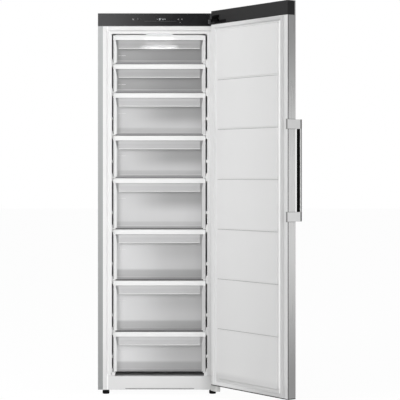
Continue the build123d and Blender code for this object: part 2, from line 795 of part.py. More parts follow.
# ---------------------------------------------------------------- cooling parts in the bay
with BuildPart() as compressor:
    rod(COMP_X, COMP_Y, (SHELL_Z0, SHELL_Z1), SHELL_R)
    fillet(compressor.edges().filter_by(GeomType.CIRCLE), SHELL_ROUND)
    seam_z = (SHELL_Z0 + SHELL_Z1 - SEAM_H) / 2
    rod(COMP_X, COMP_Y, (seam_z, seam_z + SEAM_H), SHELL_R + SEAM_PROUD)
    slab(
        (COMP_X - PLATE_W / 2, COMP_X + PLATE_W / 2),
        (COMP_Y - PLATE_D / 2, COMP_Y + PLATE_D / 2),
        (SHELL_Z0 - PLATE_T, SHELL_Z0),
    )
    with BuildSketch(Plane.XY.offset(SHELL_Z0)):
        with Locations((COMP_X, COMP_Y)):
            with GridLocations(MOUNT_PITCH_X, MOUNT_PITCH_Y, 2, 2):
                Circle(MOUNT_NECK_R)
    extrude(amount=-PLATE_T, mode=Mode.SUBTRACT)
save(compressor, "compressor")

with BuildPart() as compressor_mounts:
    with Locations((COMP_X, COMP_Y, 0)):
        with GridLocations(MOUNT_PITCH_X, MOUNT_PITCH_Y, 2, 2):
            for radius, low, high in (
                (MOUNT_R, TRAY_TOP, SHELL_Z0 - PLATE_T),
                (MOUNT_NECK_R, SHELL_Z0 - PLATE_T, SHELL_Z0),
                (MOUNT_CAP_R, SHELL_Z0, SHELL_Z0 + MOUNT_CAP_H),
            ):
                with Locations((0, 0, (low + high) / 2)):
                    Cylinder(radius, high - low)
save(compressor_mounts, "compressor_mounts")

with BuildPart() as relay_box:
    relay_z = SHELL_Z0 + SHELL_ROUND / 2
    slab(
        (COMP_X - SHELL_R - RELAY_W, COMP_X - SHELL_R / 2),
        (COMP_Y - RELAY_D / 2, COMP_Y + RELAY_D / 2),
        (relay_z, relay_z + RELAY_H),
    )
    fillet(relay_box.faces().sort_by(Axis.X)[0].edges(), RELAY_ROUND)
    add(compressor.part, mode=Mode.SUBTRACT)
save(relay_box, "relay_box")

with BuildPart() as drip_tray:
    slab(
        (COMP_X - DRIP_W / 2 - MOUNT_R, COMP_X + DRIP_W / 2 - MOUNT_R),
        (COMP_Y - DRIP_D / 2, COMP_Y + DRIP_D / 2),
        (SHELL_Z1, SHELL_Z1 + DRIP_H),
    )
    fillet(drip_tray.edges().filter_by(Axis.Z), DRIP_ROUND)
    offset(amount=-DRIP_WALL, openings=drip_tray.faces().sort_by(Axis.Z)[-1])
save(drip_tray, "drip_tray")

with BuildPart() as filter_drier:
    rod(DRIER_X, DRIER_Y, (DRIER_Z, DRIER_Z + DRIER_L), DRIER_R)
    fillet(filter_drier.edges().filter_by(GeomType.CIRCLE), DRIER_ROUND)
save(filter_drier, "filter_drier")


def pipe(points, radius, bend):
    """A pipe of round section along straight runs joined by bends."""
    with BuildLine() as route:
        FilletPolyline(*points, radius=bend)
    with BuildSketch(Plane(origin=route.line @ 0, z_dir=route.line % 0)) as section:
        Circle(radius)
    sweep(section.sketch, path=route.line)


def shell_front(x):
    """Where a pipe at x meets the front of the compressor's shell."""
    return COMP_Y - sqrt(SHELL_R**2 - (x - COMP_X) ** 2) + PIPE_R


with BuildPart() as bay_pipes:
    duct_y = BAY_FRONT + PIPE_BEND + PIPE_R
    suction_x, discharge_x = COMP_X - SHELL_R / 2, COMP_X + SHELL_R / 2
    suction_z, discharge_z = SHELL_Z1 - SUCTION_DROP, SHELL_Z0 + SHELL_ROUND
    pipe(
        [
            (DRIER_X + 2 * DRIER_R, duct_y, BAY_ROOF - SHEET),
            (DRIER_X + 2 * DRIER_R, duct_y, suction_z),
            (suction_x, duct_y, suction_z),
            (suction_x, shell_front(suction_x), suction_z),
        ],
        PIPE_R,
        PIPE_BEND,
    )
    pipe(
        [
            (discharge_x, shell_front(discharge_x), discharge_z),
            (discharge_x, duct_y, discharge_z),
            (DRIER_X, duct_y, discharge_z),
            (DRIER_X, DRIER_Y, discharge_z),
            (DRIER_X, DRIER_Y, DRIER_Z),
        ],
        PIPE_R,
        PIPE_BEND,
    )
    rod(DRIER_X, DRIER_Y, (DRIER_Z + DRIER_L, BAY_ROOF - SHEET), PIPE_R)
    add(compressor.part, mode=Mode.SUBTRACT)
save(bay_pipes, "bay_pipes")

with BuildPart() as condenser_tube:
    coil_y = PANEL_Y - CONDENSER_R - EASE
    half_run = HALF - CONDENSER_SIDE
    pitch = (CABINET_TOP - CONDENSER_ROOM - CONDENSER_Z0) / (CONDENSER_PASSES - 1)
    corners = []
    for n in range(CONDENSER_PASSES):
        height = CONDENSER_Z0 + n * pitch
        ends = (-half_run, half_run) if n % 2 == 0 else (half_run, -half_run)
        corners += [(end, coil_y, height) for end in ends]
    pipe(corners, CONDENSER_R, CONDENSER_BEND)
save(condenser_tube, "condenser_tube")

with BuildPart() as drain_tube:
    drain_z = (BAY_ROOF - DRAIN_END, STEP_Z)
    rod(DRAIN_X, DRAIN_Y, drain_z, DRAIN_R)
    rod(DRAIN_X, DRAIN_Y, (STEP_Z, STEP_Z + DRAIN_FLANGE_T), DRAIN_FLANGE_R)
    bore = (drain_z[0], STEP_Z + DRAIN_FLANGE_T)
    rod(DRAIN_X, DRAIN_Y, bore, DRAIN_BORE, mode=Mode.SUBTRACT)
save(drain_tube, "drain_tube")

with BuildPart() as mains_inlet:
    slab(
        (INLET_X - INLET_W / 2, INLET_X + INLET_W / 2),
        (CABINET_D - SHEET - INLET_D, CABINET_D - SHEET),
        (TRAY_TOP, TRAY_TOP + INLET_H),
    )
    fillet(mains_inlet.edges().filter_by(Axis.Y).group_by(Axis.Z)[-1], INLET_ROUND)
    with BuildSketch(at_depth(CABINET_D)):
        with Locations((INLET_X, TRAY_TOP + INLET_H / 2)):
            Circle(INLET_BORE)
    extrude(amount=INLET_D + SHEET, mode=Mode.SUBTRACT)
save(mains_inlet, "mains_inlet")

# ---------------------------------------------------------------- evaporator behind its cover
COVER_HALF = OPENING_W / 2 - COVER_SIDE
COVER_Z = (STEP_Z + COVER_LIFT, OPENING_TOP - COVER_TOP_GAP)
COIL_Y = INTERIOR_D - EASE - COIL_D / 2

with BuildPart() as evaporator_cover:
    slab((-COVER_HALF, COVER_HALF), (COVER_Y, INTERIOR_D), COVER_Z)
    slab(
        (-COVER_HALF + COVER_T, COVER_HALF - COVER_T),
        (COVER_Y + COVER_T, INTERIOR_D),
        (COVER_Z[0] + COVER_T, COVER_Z[1] - COVER_T),
        mode=Mode.SUBTRACT,
    )
    with BuildSketch(at_depth(COVER_Y)):
        with Locations((0, FAN_Z)):
            Circle(FAN_R + COVER_T)
            with GridLocations(1, FAN_GUARD_PITCH, 1, FAN_GUARD_BARS):
                Rectangle(FAN_MOUNT_W, FAN_GUARD_BAR, mode=Mode.SUBTRACT)
        for bottom, top in drawer_spans()[:-1]:
            with Locations((0, top - RAIL_H)):
                with GridLocations(VENT_PITCH, 1, VENT_COUNT, 1):
                    SlotOverall(VENT_W, VENT_H)
    extrude(amount=-COVER_T, mode=Mode.SUBTRACT)
    back_edges = evaporator_cover.faces().sort_by(Axis.Y)[0].outer_wire().edges()
    fillet(back_edges, COVER_T / 2)
save(evaporator_cover, "evaporator_cover")

with BuildPart() as evaporator:
    with BuildSketch(at_depth(COIL_Y + COIL_D / 2)):
        with Locations((0, COIL_Z0 + COIL_H / 2)):
            with GridLocations(COIL_W / (COIL_FINS - 1), 1, COIL_FINS, 1):
                Rectangle(FIN_T, COIL_H)
    extrude(amount=COIL_D)
    with BuildSketch(at_side(-COIL_W / 2 - 2 * COIL_TUBE_R)):
        with Locations((COIL_Y, COIL_Z0 + COIL_H / 2)):
            with GridLocations(COIL_D / 2, COIL_H / COIL_ROWS, 2, COIL_ROWS):
                Circle(COIL_TUBE_R)
    extrude(amount=COIL_W + 4 * COIL_TUBE_R)
    for end in (-1, 1):
        x = end * (COIL_W / 2 + COIL_TUBE_R)
        slab(
            (x - COIL_TUBE_R, x + COIL_TUBE_R),
            (COIL_Y - COIL_D / 2, COIL_Y + COIL_D / 2),
            (COIL_Z0, COIL_Z0 + COIL_H),
        )
save(evaporator, "evaporator")

with BuildPart() as defrost_heater:
    heater_z = COIL_Z0 - HEATER_DROP
    leg = COIL_W / 2 + COIL_TUBE_R
    pipe(
        [
            (-leg, COIL_Y, COIL_Z0),
            (-leg, COIL_Y, heater_z),
            (leg, COIL_Y, heater_z),
            (leg, COIL_Y, COIL_Z0),
        ],
        HEATER_R,
        2 * HEATER_R,
    )
save(defrost_heater, "defrost_heater")

FAN_BACK = COVER_Y + COVER_T + EASE + FAN_HUB_L
MOTOR_FRONT = FAN_BACK + FAN_GAP
MOTOR_BACK = MOTOR_FRONT + FAN_MOTOR_L

with BuildPart() as fan_motor:
    with BuildSketch(at_depth(MOTOR_FRONT)):
        with Locations((0, FAN_Z)):
            Circle(FAN_MOTOR_R)
    extrude(amount=-FAN_MOTOR_L)
    fillet(fan_motor.edges().filter_by(GeomType.CIRCLE), FAN_MOTOR_ROUND)
    with BuildSketch(at_depth(MOTOR_FRONT)):
        with Locations((0, FAN_Z)):
            Circle(FAN_SHAFT_R)
    extrude(amount=FAN_GAP + FAN_SHAFT_L)
    slab(
        (-FAN_MOUNT_W / 2, FAN_MOUNT_W / 2),
        (MOTOR_BACK - FAN_MOUNT_T, MOTOR_BACK),
        (FAN_Z - FAN_HUB_R, FAN_Z + FAN_HUB_R),
    )
    for side in (-1, 1):
        edge = side * (FAN_MOUNT_W / 2 - FAN_MOUNT_T / 2)
        slab(
            (edge - FAN_MOUNT_T / 2, edge + FAN_MOUNT_T / 2),
            (MOTOR_BACK, INTERIOR_D),
            (FAN_Z - FAN_HUB_R, FAN_Z + FAN_HUB_R),
        )
save(fan_motor, "fan_motor")

with BuildPart() as fan_blade:
    with BuildSketch(at_depth(FAN_BACK)):
        with Locations((0, FAN_Z)):
            Circle(FAN_HUB_R)
    extrude(amount=FAN_HUB_L)
    for n in range(FAN_BLADES):
        turn, pitch = radians(n * 360 / FAN_BLADES), radians(FAN_PITCH)
        blade = Plane(
            origin=(0, FAN_BACK - FAN_HUB_L / 2, FAN_Z),
            x_dir=(cos(turn), 0, sin(turn)),
            z_dir=(-sin(turn) * sin(pitch), -cos(pitch), cos(turn) * sin(pitch)),
        )
        with BuildSketch(blade):
            with Locations(((FAN_HUB_R + FAN_R) / 2 - BLADE_ROOT, 0)):
                Rectangle(FAN_R - FAN_HUB_R - BLADE_ROOT, BLADE_CHORD)
        extrude(amount=FAN_BLADE_T / 2, both=True)
    with BuildSketch(at_depth(FAN_BACK)):
        with Locations((0, FAN_Z)):
            Circle(FAN_SHAFT_R + PIN_EASE)
    extrude(amount=FAN_SHAFT_L + EASE, mode=Mode.SUBTRACT)
save(fan_blade, "fan_blade")


# ---------------------------------------------------------------- drawers
FRAME_HALF = DRAWER_W / 2
BOX_HALF = FRAME_HALF - BOX_WALL
RAIL_BACK = DRAWER_FRONT + RAIL_D
PANEL_FRONT = DRAWER_FRONT + GRIP_SETBACK
WALL_FRONT = PANEL_FRONT + BOX_WALL + GRIP_ROOM


def drawer_box(bottom, top, back):
    """A translucent drawer box with its recessed front wall, grip panel and bottom lip."""
    rim = top - FRAME_T
    with BuildPart() as piece:
        slab((-BOX_HALF, BOX_HALF), (WALL_FRONT, back), (bottom, rim))
        slab(
            (-BOX_HALF + BOX_WALL, BOX_HALF - BOX_WALL),
            (WALL_FRONT + BOX_WALL, back - BOX_WALL),
            (bottom + BOX_FLOOR, rim),
            mode=Mode.SUBTRACT,
        )
        shelf = BOX_HALF - 2 * EASE - FRAME_T + BOX_WALL
        lip_front = DRAWER_FRONT + FRAME_T + EASE
        slab((-shelf, shelf), (lip_front, WALL_FRONT), (bottom, bottom + BOX_FLOOR))
        slab((-shelf, shelf), (lip_front, lip_front + BOX_WALL), (bottom, bottom + LIP_H))
        grip = (GRIP_INSET - FRAME_HALF, FRAME_HALF - GRIP_INSET)
        panel_low = top - RAIL_H - GRIP_H
        slab(grip, (PANEL_FRONT, PANEL_FRONT + BOX_WALL), (panel_low, rim))
        slab(grip, (PANEL_FRONT, WALL_FRONT), (rim - BOX_FLOOR, rim))
        slab(
            grip,
            (PANEL_FRONT - BOX_WALL, PANEL_FRONT + BOX_WALL),
            (panel_low, panel_low + BOX_WALL),
        )
        fillet(piece.edges().filter_by(Axis.Z).group_by(Axis.Y)[-1], BOX_ROUND)
    return piece


def front_frame(bottom, top):
    """The white frame round a drawer's front: the rail on top and a strip down each side."""
    under = top - RAIL_H
    with BuildPart() as piece:
        with BuildSketch(at_depth(DRAWER_FRONT)):
            with BuildLine():
                Polyline(
                    (-FRAME_HALF, bottom),
                    (-FRAME_HALF, top),
                    (FRAME_HALF, top),
                    (FRAME_HALF, bottom),
                    (FRAME_HALF - STRIP_W, bottom),
                    (FRAME_HALF - STRIP_W, under - GRIP_H),
                    (FRAME_HALF - STRIP_TOP_W, under),
                    (-FRAME_HALF + STRIP_TOP_W, under),
                    (-FRAME_HALF + STRIP_W, under - GRIP_H),
                    (-FRAME_HALF + STRIP_W, bottom),
                    close=True,
                )
            make_face()
        extrude(amount=-FRAME_T)
        slab((-FRAME_HALF, FRAME_HALF), (DRAWER_FRONT, RAIL_BACK), (top - FRAME_T, top))
        for side in (-1, 1):
            x = side * (FRAME_HALF - FRAME_T / 2)
            slab(
                (x - FRAME_T / 2, x + FRAME_T / 2),
                (DRAWER_FRONT, WALL_FRONT),
                (bottom, top),
            )
        top_edges = piece.edges().filter_by(Axis.X).group_by(Axis.Z)[-1]
        fillet(top_edges.sort_by(Axis.Y)[0], RAIL_ROUND)
    return piece


for index, (low, high) in enumerate(drawer_spans()):
    save(drawer_box(low, high, drawer_back(index)), f"drawer_box_{index + 1}")
    save(front_frame(low, high), f"drawer_front_{index + 1}")

# ---------------------------------------------------------------- door
with BuildPart(DOOR) as door_skin:
    slab((U_FREE, U_HINGE), (V_OUT, V_OUT + SHEET), (DOOR_BOTTOM, DOOR_TOP))
    for edge in (U_FREE, U_HINGE - SHEET):
        slab((edge, edge + SHEET), (V_OUT, V_LINER), (DOOR_FOOT, CAP_Z))
    for hem in (U_FREE, U_HINGE - HEM_W):
        slab((hem, hem + HEM_W), (V_LINER - SHEET, V_LINER), (DOOR_FOOT, CAP_Z))
save(door_skin, "door_skin")

PANEL_Z = (OPENING_BOTTOM, REBATE_TOP - PANEL_DROP)


def raised_panel(shrink, base, mode):
    """The raised part of the door's inner side, with the grooves that part its fields."""
    low, high = PANEL_Z
    width = REBATE_W - 2 * (PANEL_CLEAR + shrink)
    height = high - low - 2 * shrink
    with BuildSketch(on_door(base, facing_room=True)) as outline:
        with Locations((0, (low + high) / 2)):
            RectangleRounded(width, height, OPENING_R)
    rise = V_IN + PANEL_RISE - shrink - base
    extrude(outline.sketch, amount=rise, taper=PANEL_TAPER, mode=mode)


def groove_heights():
    """The height of the middle of each groove across the raised panel."""
    low, high = PANEL_Z
    return [low + (high - low) * n / FIELDS for n in range(1, FIELDS)]


with BuildPart(DOOR) as door_foam:
    slab(
        (U_FREE + SHEET, U_HINGE - SHEET),
        (V_OUT + SHEET, V_LINER - SHEET),
        (DOOR_FOOT, CAP_Z),
    )
    slab(
        (U_FREE + HEM_W, U_HINGE - HEM_W),
        (V_LINER - SHEET, V_LINER),
        (DOOR_FOOT, CAP_Z),
    )
    raised_panel(PANEL_WALL, V_LINER - SHEET, Mode.ADD)
    for height in groove_heights():
        deep = V_IN + PANEL_RISE - GROOVE_D - PANEL_WALL
        wide = GROOVE_W / 2 + PANEL_WALL
        slab(
            (U_FREE, U_HINGE),
            (deep, V_IN + PANEL_RISE),
            (height - wide, height + wide),
            mode=Mode.SUBTRACT,
        )
    rod(0, 0, (DOOR_FOOT, LOW_BUSH_TOP), LOW_PIN_R + PIN_EASE + BUSH_WALL, mode=Mode.SUBTRACT)
save(door_foam, "door_foam")

with BuildPart(DOOR) as liner_form:
    slab(
        (U_FREE + DOOR_LINER_INSET, U_HINGE - DOOR_LINER_INSET),
        (V_LINER, V_IN),
        (DOOR_FOOT, CAP_Z),
    )
    raised_panel(0, V_IN, Mode.ADD)
    for height in groove_heights():
        deep = V_IN + PANEL_RISE - GROOVE_D
        slab(
            (U_FREE, U_HINGE),
            (deep, V_IN + PANEL_RISE),
            (height - GROOVE_W / 2, height + GROOVE_W / 2),
            mode=Mode.SUBTRACT,
        )

with BuildPart() as door_liner:
    add(liner_form.part)
    add(door_foam.part, mode=Mode.SUBTRACT)
save(door_liner, "door_liner")

GASKET_HALF = REBATE_W / 2 + GASKET_W
GASKET_Z = (DOOR_FOOT + GASKET_FOOT, CAP_Z - GASKET_TOP_LAND)


def ring(half, z, width, v0, v1):
    """A flat ring along the door's inner side, between two values of v."""
    with BuildSketch(on_door(v0, facing_room=True)) as outline:
        with Locations((0, (z[0] + z[1]) / 2)):
            Rectangle(2 * half, z[1] - z[0])
            Rectangle(2 * (half - width), z[1] - z[0] - 2 * width, mode=Mode.SUBTRACT)
    extrude(outline.sketch, amount=v1 - v0)


with BuildPart(DOOR) as door_gasket:
    bulb_in = (GASKET_W - GASKET_BULB_W) / 2
    bulb_z = (GASKET_Z[0] + bulb_in, GASKET_Z[1] - bulb_in)
    ring(GASKET_HALF, GASKET_Z, GASKET_W, V_IN, V_IN + GASKET_BASE)
    bulb_v = (V_IN + GASKET_BASE, V_IN + DOOR_GAP - EASE)
    ring(GASKET_HALF - bulb_in, bulb_z, GASKET_BULB_W, *bulb_v)
save(door_gasket, "door_gasket")

BUSH_Z = (NOTCH_Z0 - HINGE_INSET, NOTCH_Z0)

with BuildPart(DOOR) as door_top_cap:
    slab((U_FREE, U_HINGE), (V_OUT + SHEET, V_IN), (CAP_Z, DOOR_TOP))
    slab(
        (U_FREE + CAP_WALL, U_HINGE - NOTCH_L - CAP_WALL),
        (V_OUT + SHEET + CAP_WALL, V_IN - CAP_WALL),
        (CAP_Z, DOOR_TOP - CAP_WALL),
        mode=Mode.SUBTRACT,
    )
    slab(
        (U_HINGE - NOTCH_L, U_HINGE),
        (V_OUT + SHEET + CAP_WALL, V_IN),
        (NOTCH_Z0, NOTCH_Z1),
        mode=Mode.SUBTRACT,
    )
    rod(0, 0, (CAP_Z, NOTCH_Z0), PIN_R + PIN_EASE + BUSH_WALL, mode=Mode.SUBTRACT)
save(door_top_cap, "door_top_cap")

with BuildPart(DOOR) as door_bottom_cap:
    slab((U_FREE, U_HINGE), (V_OUT + SHEET, V_IN), (DOOR_BOTTOM, DOOR_FOOT))
    rod(0, 0, (DOOR_BOTTOM, DOOR_FOOT), LOW_PIN_R + PIN_EASE + BUSH_WALL, mode=Mode.SUBTRACT)
save(door_bottom_cap, "door_bottom_cap")

with BuildPart(DOOR) as door_bushes:
    rod(0, 0, (CAP_Z, NOTCH_Z0), PIN_R + PIN_EASE + BUSH_WALL)
    rod(0, 0, (CAP_Z, NOTCH_Z0), PIN_R + PIN_EASE, mode=Mode.SUBTRACT)
    seat = BRACKET_Z + BRACKET_T + EASE
    rod(0, 0, (DOOR_BOTTOM, LOW_BUSH_TOP), LOW_PIN_R + PIN_EASE + BUSH_WALL)
    rod(0, 0, (seat, DOOR_BOTTOM), LOW_PIN_R + PIN_EASE + BUSH_WALL + BUSH_FLANGE)
    rod(0, 0, (seat, LOW_BUSH_TOP), LOW_PIN_R + PIN_EASE, mode=Mode.SUBTRACT)
save(door_bushes, "door_bushes")

# ---------------------------------------------------------------- handle
BAR_V = V_OUT - GRIP_GAP
BAR_U = (U_FREE + BAR_INSET, U_FREE + BAR_INSET + BAR_W)

with BuildPart(DOOR) as handle_bar:
    slab(BAR_U, (BAR_V - BAR_T, BAR_V), (HANDLE_BOTTOM, HANDLE_BOTTOM + HANDLE_L))
    fillet(handle_bar.edges().filter_by(Axis.Z), BAR_ROUND)
save(handle_bar, "handle_bar")

with BuildPart(DOOR) as handle_brackets:
    for z0 in (HANDLE_BOTTOM, HANDLE_BOTTOM + HANDLE_L - BRACKET_H):
        z = (z0, z0 + BRACKET_H)
        slab((U_FREE - STRAP_T, U_FREE), (BAR_V, V_IN + STRAP_T), z)
        slab((U_FREE - STRAP_T, U_FREE + STRAP_LIP), (V_IN, V_IN + STRAP_T), z)
        slab((U_FREE - STRAP_T, U_FREE + STRAP_BLOCK), (BAR_V, V_OUT), z)
save(handle_brackets, "handle_brackets")
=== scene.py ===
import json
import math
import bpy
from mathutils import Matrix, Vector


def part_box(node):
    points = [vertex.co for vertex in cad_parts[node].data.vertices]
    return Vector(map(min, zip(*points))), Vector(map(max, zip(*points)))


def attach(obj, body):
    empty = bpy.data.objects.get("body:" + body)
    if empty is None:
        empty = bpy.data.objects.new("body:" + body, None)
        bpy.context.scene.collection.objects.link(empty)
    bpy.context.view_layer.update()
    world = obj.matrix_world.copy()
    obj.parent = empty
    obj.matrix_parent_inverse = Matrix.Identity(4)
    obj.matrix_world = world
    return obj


bl_info = {
    "name": "Upright freezer looks",
    "version": (1, 0, 0),
    "blender": (4, 5, 0),
    "location": "3D View > Sidebar > Freezer",
    "description": "Finishes and fine parts of an upright freezer with its door open",
    "category": "Object",
}

from functools import partial

import bmesh
import bpy
from mathutils import Matrix, Vector

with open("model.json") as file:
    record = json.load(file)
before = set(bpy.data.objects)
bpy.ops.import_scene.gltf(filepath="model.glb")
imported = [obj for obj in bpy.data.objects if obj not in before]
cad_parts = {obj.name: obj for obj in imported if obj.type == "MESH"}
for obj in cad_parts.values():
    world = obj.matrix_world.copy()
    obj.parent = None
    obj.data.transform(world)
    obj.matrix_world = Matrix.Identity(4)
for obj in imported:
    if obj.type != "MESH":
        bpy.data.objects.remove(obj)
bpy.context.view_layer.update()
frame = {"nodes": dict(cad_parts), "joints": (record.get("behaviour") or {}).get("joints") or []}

MM = 0.001
DRAWERS = range(1, 9)
IMAGE_SIDE = 400  # the picture's width and height in pixels
WHITE = (1.0, 1.0, 1.0, 1.0)
BLACK = (0.0, 0.0, 0.0, 1.0)
PLASTIC_IOR = 1.49

GRIP_DROP = 63 * MM  # from the top of a drawer's box to the lower edge of its grip
RAIL_DROP = 23 * MM  # from the top of a drawer's frame to the lower edge of its rail
WALL_DEPTH = 20 * MM  # from a drawer frame's front to the front wall of its box

# the painted light and shade in the plastic of the two small, the three middle and the three lower drawers:
# its grip lighter, its hinge side and the part under its grip darker, its foot darker over a height
SMALL = {"grip": 0.12, "side": 0.12, "deep": 0.12, "foot": -0.28, "height": 13 * MM}
MIDDLE = {"grip": -0.1, "side": 0.0, "deep": 0.4, "foot": 0.14, "height": 36 * MM}
LOWER = {"grip": -0.18, "side": 0.25, "deep": 0.1, "foot": 0.28, "height": 54 * MM}
SHADES = dict(zip(DRAWERS, (SMALL, SMALL, MIDDLE, MIDDLE, MIDDLE, LOWER, LOWER, LOWER)))
# the painted light level of each drawer's plastic, darkest on the two small drawers
DRAWER_LEVELS = dict(zip(DRAWERS, (0.52, 0.54, 0.81, 0.81, 0.86, 0.95, 0.94, 0.98)))

# where painted shade sets in and where it is full, in metres over the floor or across the front
HINGE_SIDE = (0.19, 0.25)
LOW_AT_HINGE = (1.3, 0.0)
LOW_AT_LEFT = (0.35, 0.0)
# the same across the open door from its hinge, and over the floor
DOOR_LINER_FREE = (-0.1, -0.56)
DOOR_LINER_LOW = (1.2, 0.0)
DOOR_LINER_FOOT = (0.13, 0.1)
GASKET_FREE = (-0.1, -0.5)


# ------------------------------------------------------------------ places read from the frame
def joint(name):
    """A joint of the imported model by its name."""
    for entry in frame["joints"]:
        if entry["name"] == name:
            return entry
    raise RuntimeError(f"no joint {name}")


def span(node):
    """A node's lowest and highest corner as two vectors."""
    low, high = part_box(node)
    return Vector(low), Vector(high)


def looks():
    """The values a user can change in the sidebar."""
    return bpy.context.scene.freezer_looks


# ------------------------------------------------------------------ shader maths
class Signal:
    """A shader socket; Python's operators on it add Math nodes."""

    def __init__(self, finish, socket):
        self.finish = finish
        self.socket = socket

    def __add__(self, other):
        return self.finish.maths("ADD", self, other)

    def __sub__(self, other):
        return self.finish.maths("SUBTRACT", self, other)

    def __rsub__(self, other):
        return self.finish.maths("SUBTRACT", other, self)

    def __mul__(self, other):
        return self.finish.maths("MULTIPLY", self, other)

    def __truediv__(self, other):
        return self.finish.maths("DIVIDE", self, other)

    def __pow__(self, other):
        return self.finish.maths("POWER", self, other)

    __radd__ = __add__
    __rmul__ = __mul__


class Finish:
    """One of the freezer's surface finishes, built up node by node."""

    def __init__(self, name):
        self.material = bpy.data.materials.new(name)
        self.material.use_nodes = True
        self.tree = self.material.node_tree
        self.tree.nodes.clear()
        self.shader = self.tree.nodes.new("ShaderNodeBsdfPrincipled")
        self.output = self.tree.nodes.new("ShaderNodeOutputMaterial")
        self.tree.links.new(self.shader.outputs["BSDF"], self.output.inputs["Surface"])
        self.place = self.node("ShaderNodeTexCoord", out="Object")

    def node(self, kind, settings=None, values=None, out=0):
        """Adds a node with its settings and socket values, and gives one of its outputs."""
        made = self.tree.nodes.new(kind)
        for key, value in (settings or {}).items():
            setattr(made, key, value)
        for key, value in (values or {}).items():
            self.feed(made.inputs[key], value)
        return Signal(self, made.outputs[out])

    def feed(self, socket, value):
        """Links a signal to a socket, or writes a value on it."""
        if isinstance(value, Signal):
            self.tree.links.new(value.socket, socket)
        else:
            socket.default_value = value

    def maths(self, operation, first, second):
        """A Math node on two signals or numbers."""
        return self.node("ShaderNodeMath", {"operation": operation}, {0: first, 1: second})

    def scaled(self, x, y, z):
        """The place on the piece with each axis scaled, for stretched patterns."""
        settings = {"operation": "MULTIPLY"}
        return self.node("ShaderNodeVectorMath", settings, {0: self.place, 1: (x, y, z)})

    def noise(self, scale, detail=2.0, place=None):
        """Smooth noise between 0 and 1."""
        values = {"Vector": place or self.place, "Scale": scale, "Detail": detail}
        return self.node("ShaderNodeTexNoise", None, values, out="Fac")

    def along(self, axis):
        """Where a point lies along an axis of the object, in metres."""
        return self.node("ShaderNodeSeparateXYZ", None, {0: self.place}, out=axis)

    def ramp(self, value, start, end):
        """Goes smoothly from 0 at start to 1 at end, upwards or downwards."""
        settings = {"interpolation_type": "SMOOTHSTEP"}
        if start > end:
            return 1.0 - self.node("ShaderNodeMapRange", settings, {0: value, 1: end, 2: start})
        return self.node("ShaderNodeMapRange", settings, {0: value, 1: start, 2: end})

    def band(self, value, start, end, soft):
        """1 between start and end, with soft sides within them."""
        return self.ramp(value, start, start + soft) * self.ramp(value, end, end - soft)

    def blend(self, mask, dark, light):
        """A colour between two, by a mask."""
        settings = {"data_type": "RGBA", "clamp_factor": True}
        return self.node("ShaderNodeMix", settings, {0: mask, 6: dark, 7: light}, out=2)

    def cover(self, mask, dark, light):
        """Colours the surface between two colours, by a mask."""
        self.give("Base Color", self.blend(mask, dark, light))

    def bump(self, height, strength, distance):
        """Raises the surface by a signal."""
        values = {"Height": height, "Strength": strength, "Distance": distance}
        self.give("Normal", self.node("ShaderNodeBump", None, values, out="Normal"))

    def give(self, socket, value):
        """Feeds one of the shader's own sockets."""
        self.feed(self.shader.inputs[socket], value)

    def colour(self):
        """The signal that feeds the shader's colour so far."""
        return Signal(self, self.shader.inputs["Base Color"].links[0].from_socket)

    def tone(self, mask, colour):
        """Changes the colour so far to another where the mask says."""
        self.cover(mask, self.colour(), colour)


def background_ray(tree):
    """A socket that is 1 for the rays that show the background: seen, mirrored or through."""
    path = tree.nodes.new("ShaderNodeLightPath")
    shown = path.outputs["Is Camera Ray"]
    for ray in ("Is Glossy Ray", "Is Transmission Ray"):
        either = tree.nodes.new("ShaderNodeMath")
        either.operation = "MAXIMUM"
        tree.links.new(shown, either.inputs[0])
        tree.links.new(path.outputs[ray], either.inputs[1])
        shown = either.outputs[0]
    return shown


def tint(colour, factor):
    """A colour made darker or lighter, opaque."""
    return (*(min(1.0, part * factor) for part in colour[:3]), 1.0)


# ------------------------------------------------------------------ finishes
FINISHES = {}


def finish(name):
    """The material with this name, made on first use."""
    if name not in FINISHES:
        FINISHES[name] = RECIPES[name]().material
    return FINISHES[name]


def moulded(name, colour, roughness, grain=1.0):
    """Moulded plastic: faint flow shading, fine moulded texture and slightly uneven gloss."""
    made = Finish(name)
    flow = made.noise(3.5, 3.0)
    grit = made.noise(1400.0, 2.0)
    made.cover(flow * 0.7 + grit * 0.3, tint(colour, 0.955), tint(colour, 1.03))
    made.give("Roughness", flow * 0.08 + grit * 0.08 + (roughness - 0.08))
    made.give("IOR", PLASTIC_IOR)
    made.bump(grit, 0.16 * grain, 0.35 * MM)
    return made


def brushed(name, colour, roughness, along=(700.0, 700.0, 9.0), metallic=0.85):
    """Brushed sheet metal: long fine scratches, broader bands and soft smudges."""
    made = Finish(name)
    hair = made.noise(1.0, 3.0, made.scaled(*along))
    band = made.noise(1.0, 2.0, made.scaled(*(part * 0.12 for part in along)))
    smudge = made.noise(4.0, 3.0)
    tone = hair * 0.55 + band * 0.25 + smudge * 0.2
    made.cover(tone, tint(colour, 0.9), tint(colour, 1.08))
    made.give("Metallic", metallic)
    made.give("Roughness", hair * 0.14 + smudge * 0.08 + (roughness - 0.11))
    made.bump(hair, 0.1, 0.2 * MM)
    return made


def painted(name, colour, roughness, metallic=0.0):
    """Painted or coated sheet: orange peel and a faint unevenness."""
    made = Finish(name)
    peel = made.noise(420.0, 1.0)
    cloud = made.noise(2.2, 3.0)
    made.cover(cloud * 0.75 + peel * 0.25, tint(colour, 0.95), tint(colour, 1.04))
    made.give("Metallic", metallic)
    made.give("Roughness", peel * 0.08 + cloud * 0.06 + (roughness - 0.07))
    made.bump(peel, 0.12, 0.3 * MM)
    return made


def dull_black(name, grey):
    """Dull black paint or rubber that mirrors very little."""
    made = painted(name, (grey, grey, grey, 1), 0.6)
    made.give("Specular IOR Level", 0.06)
    return made


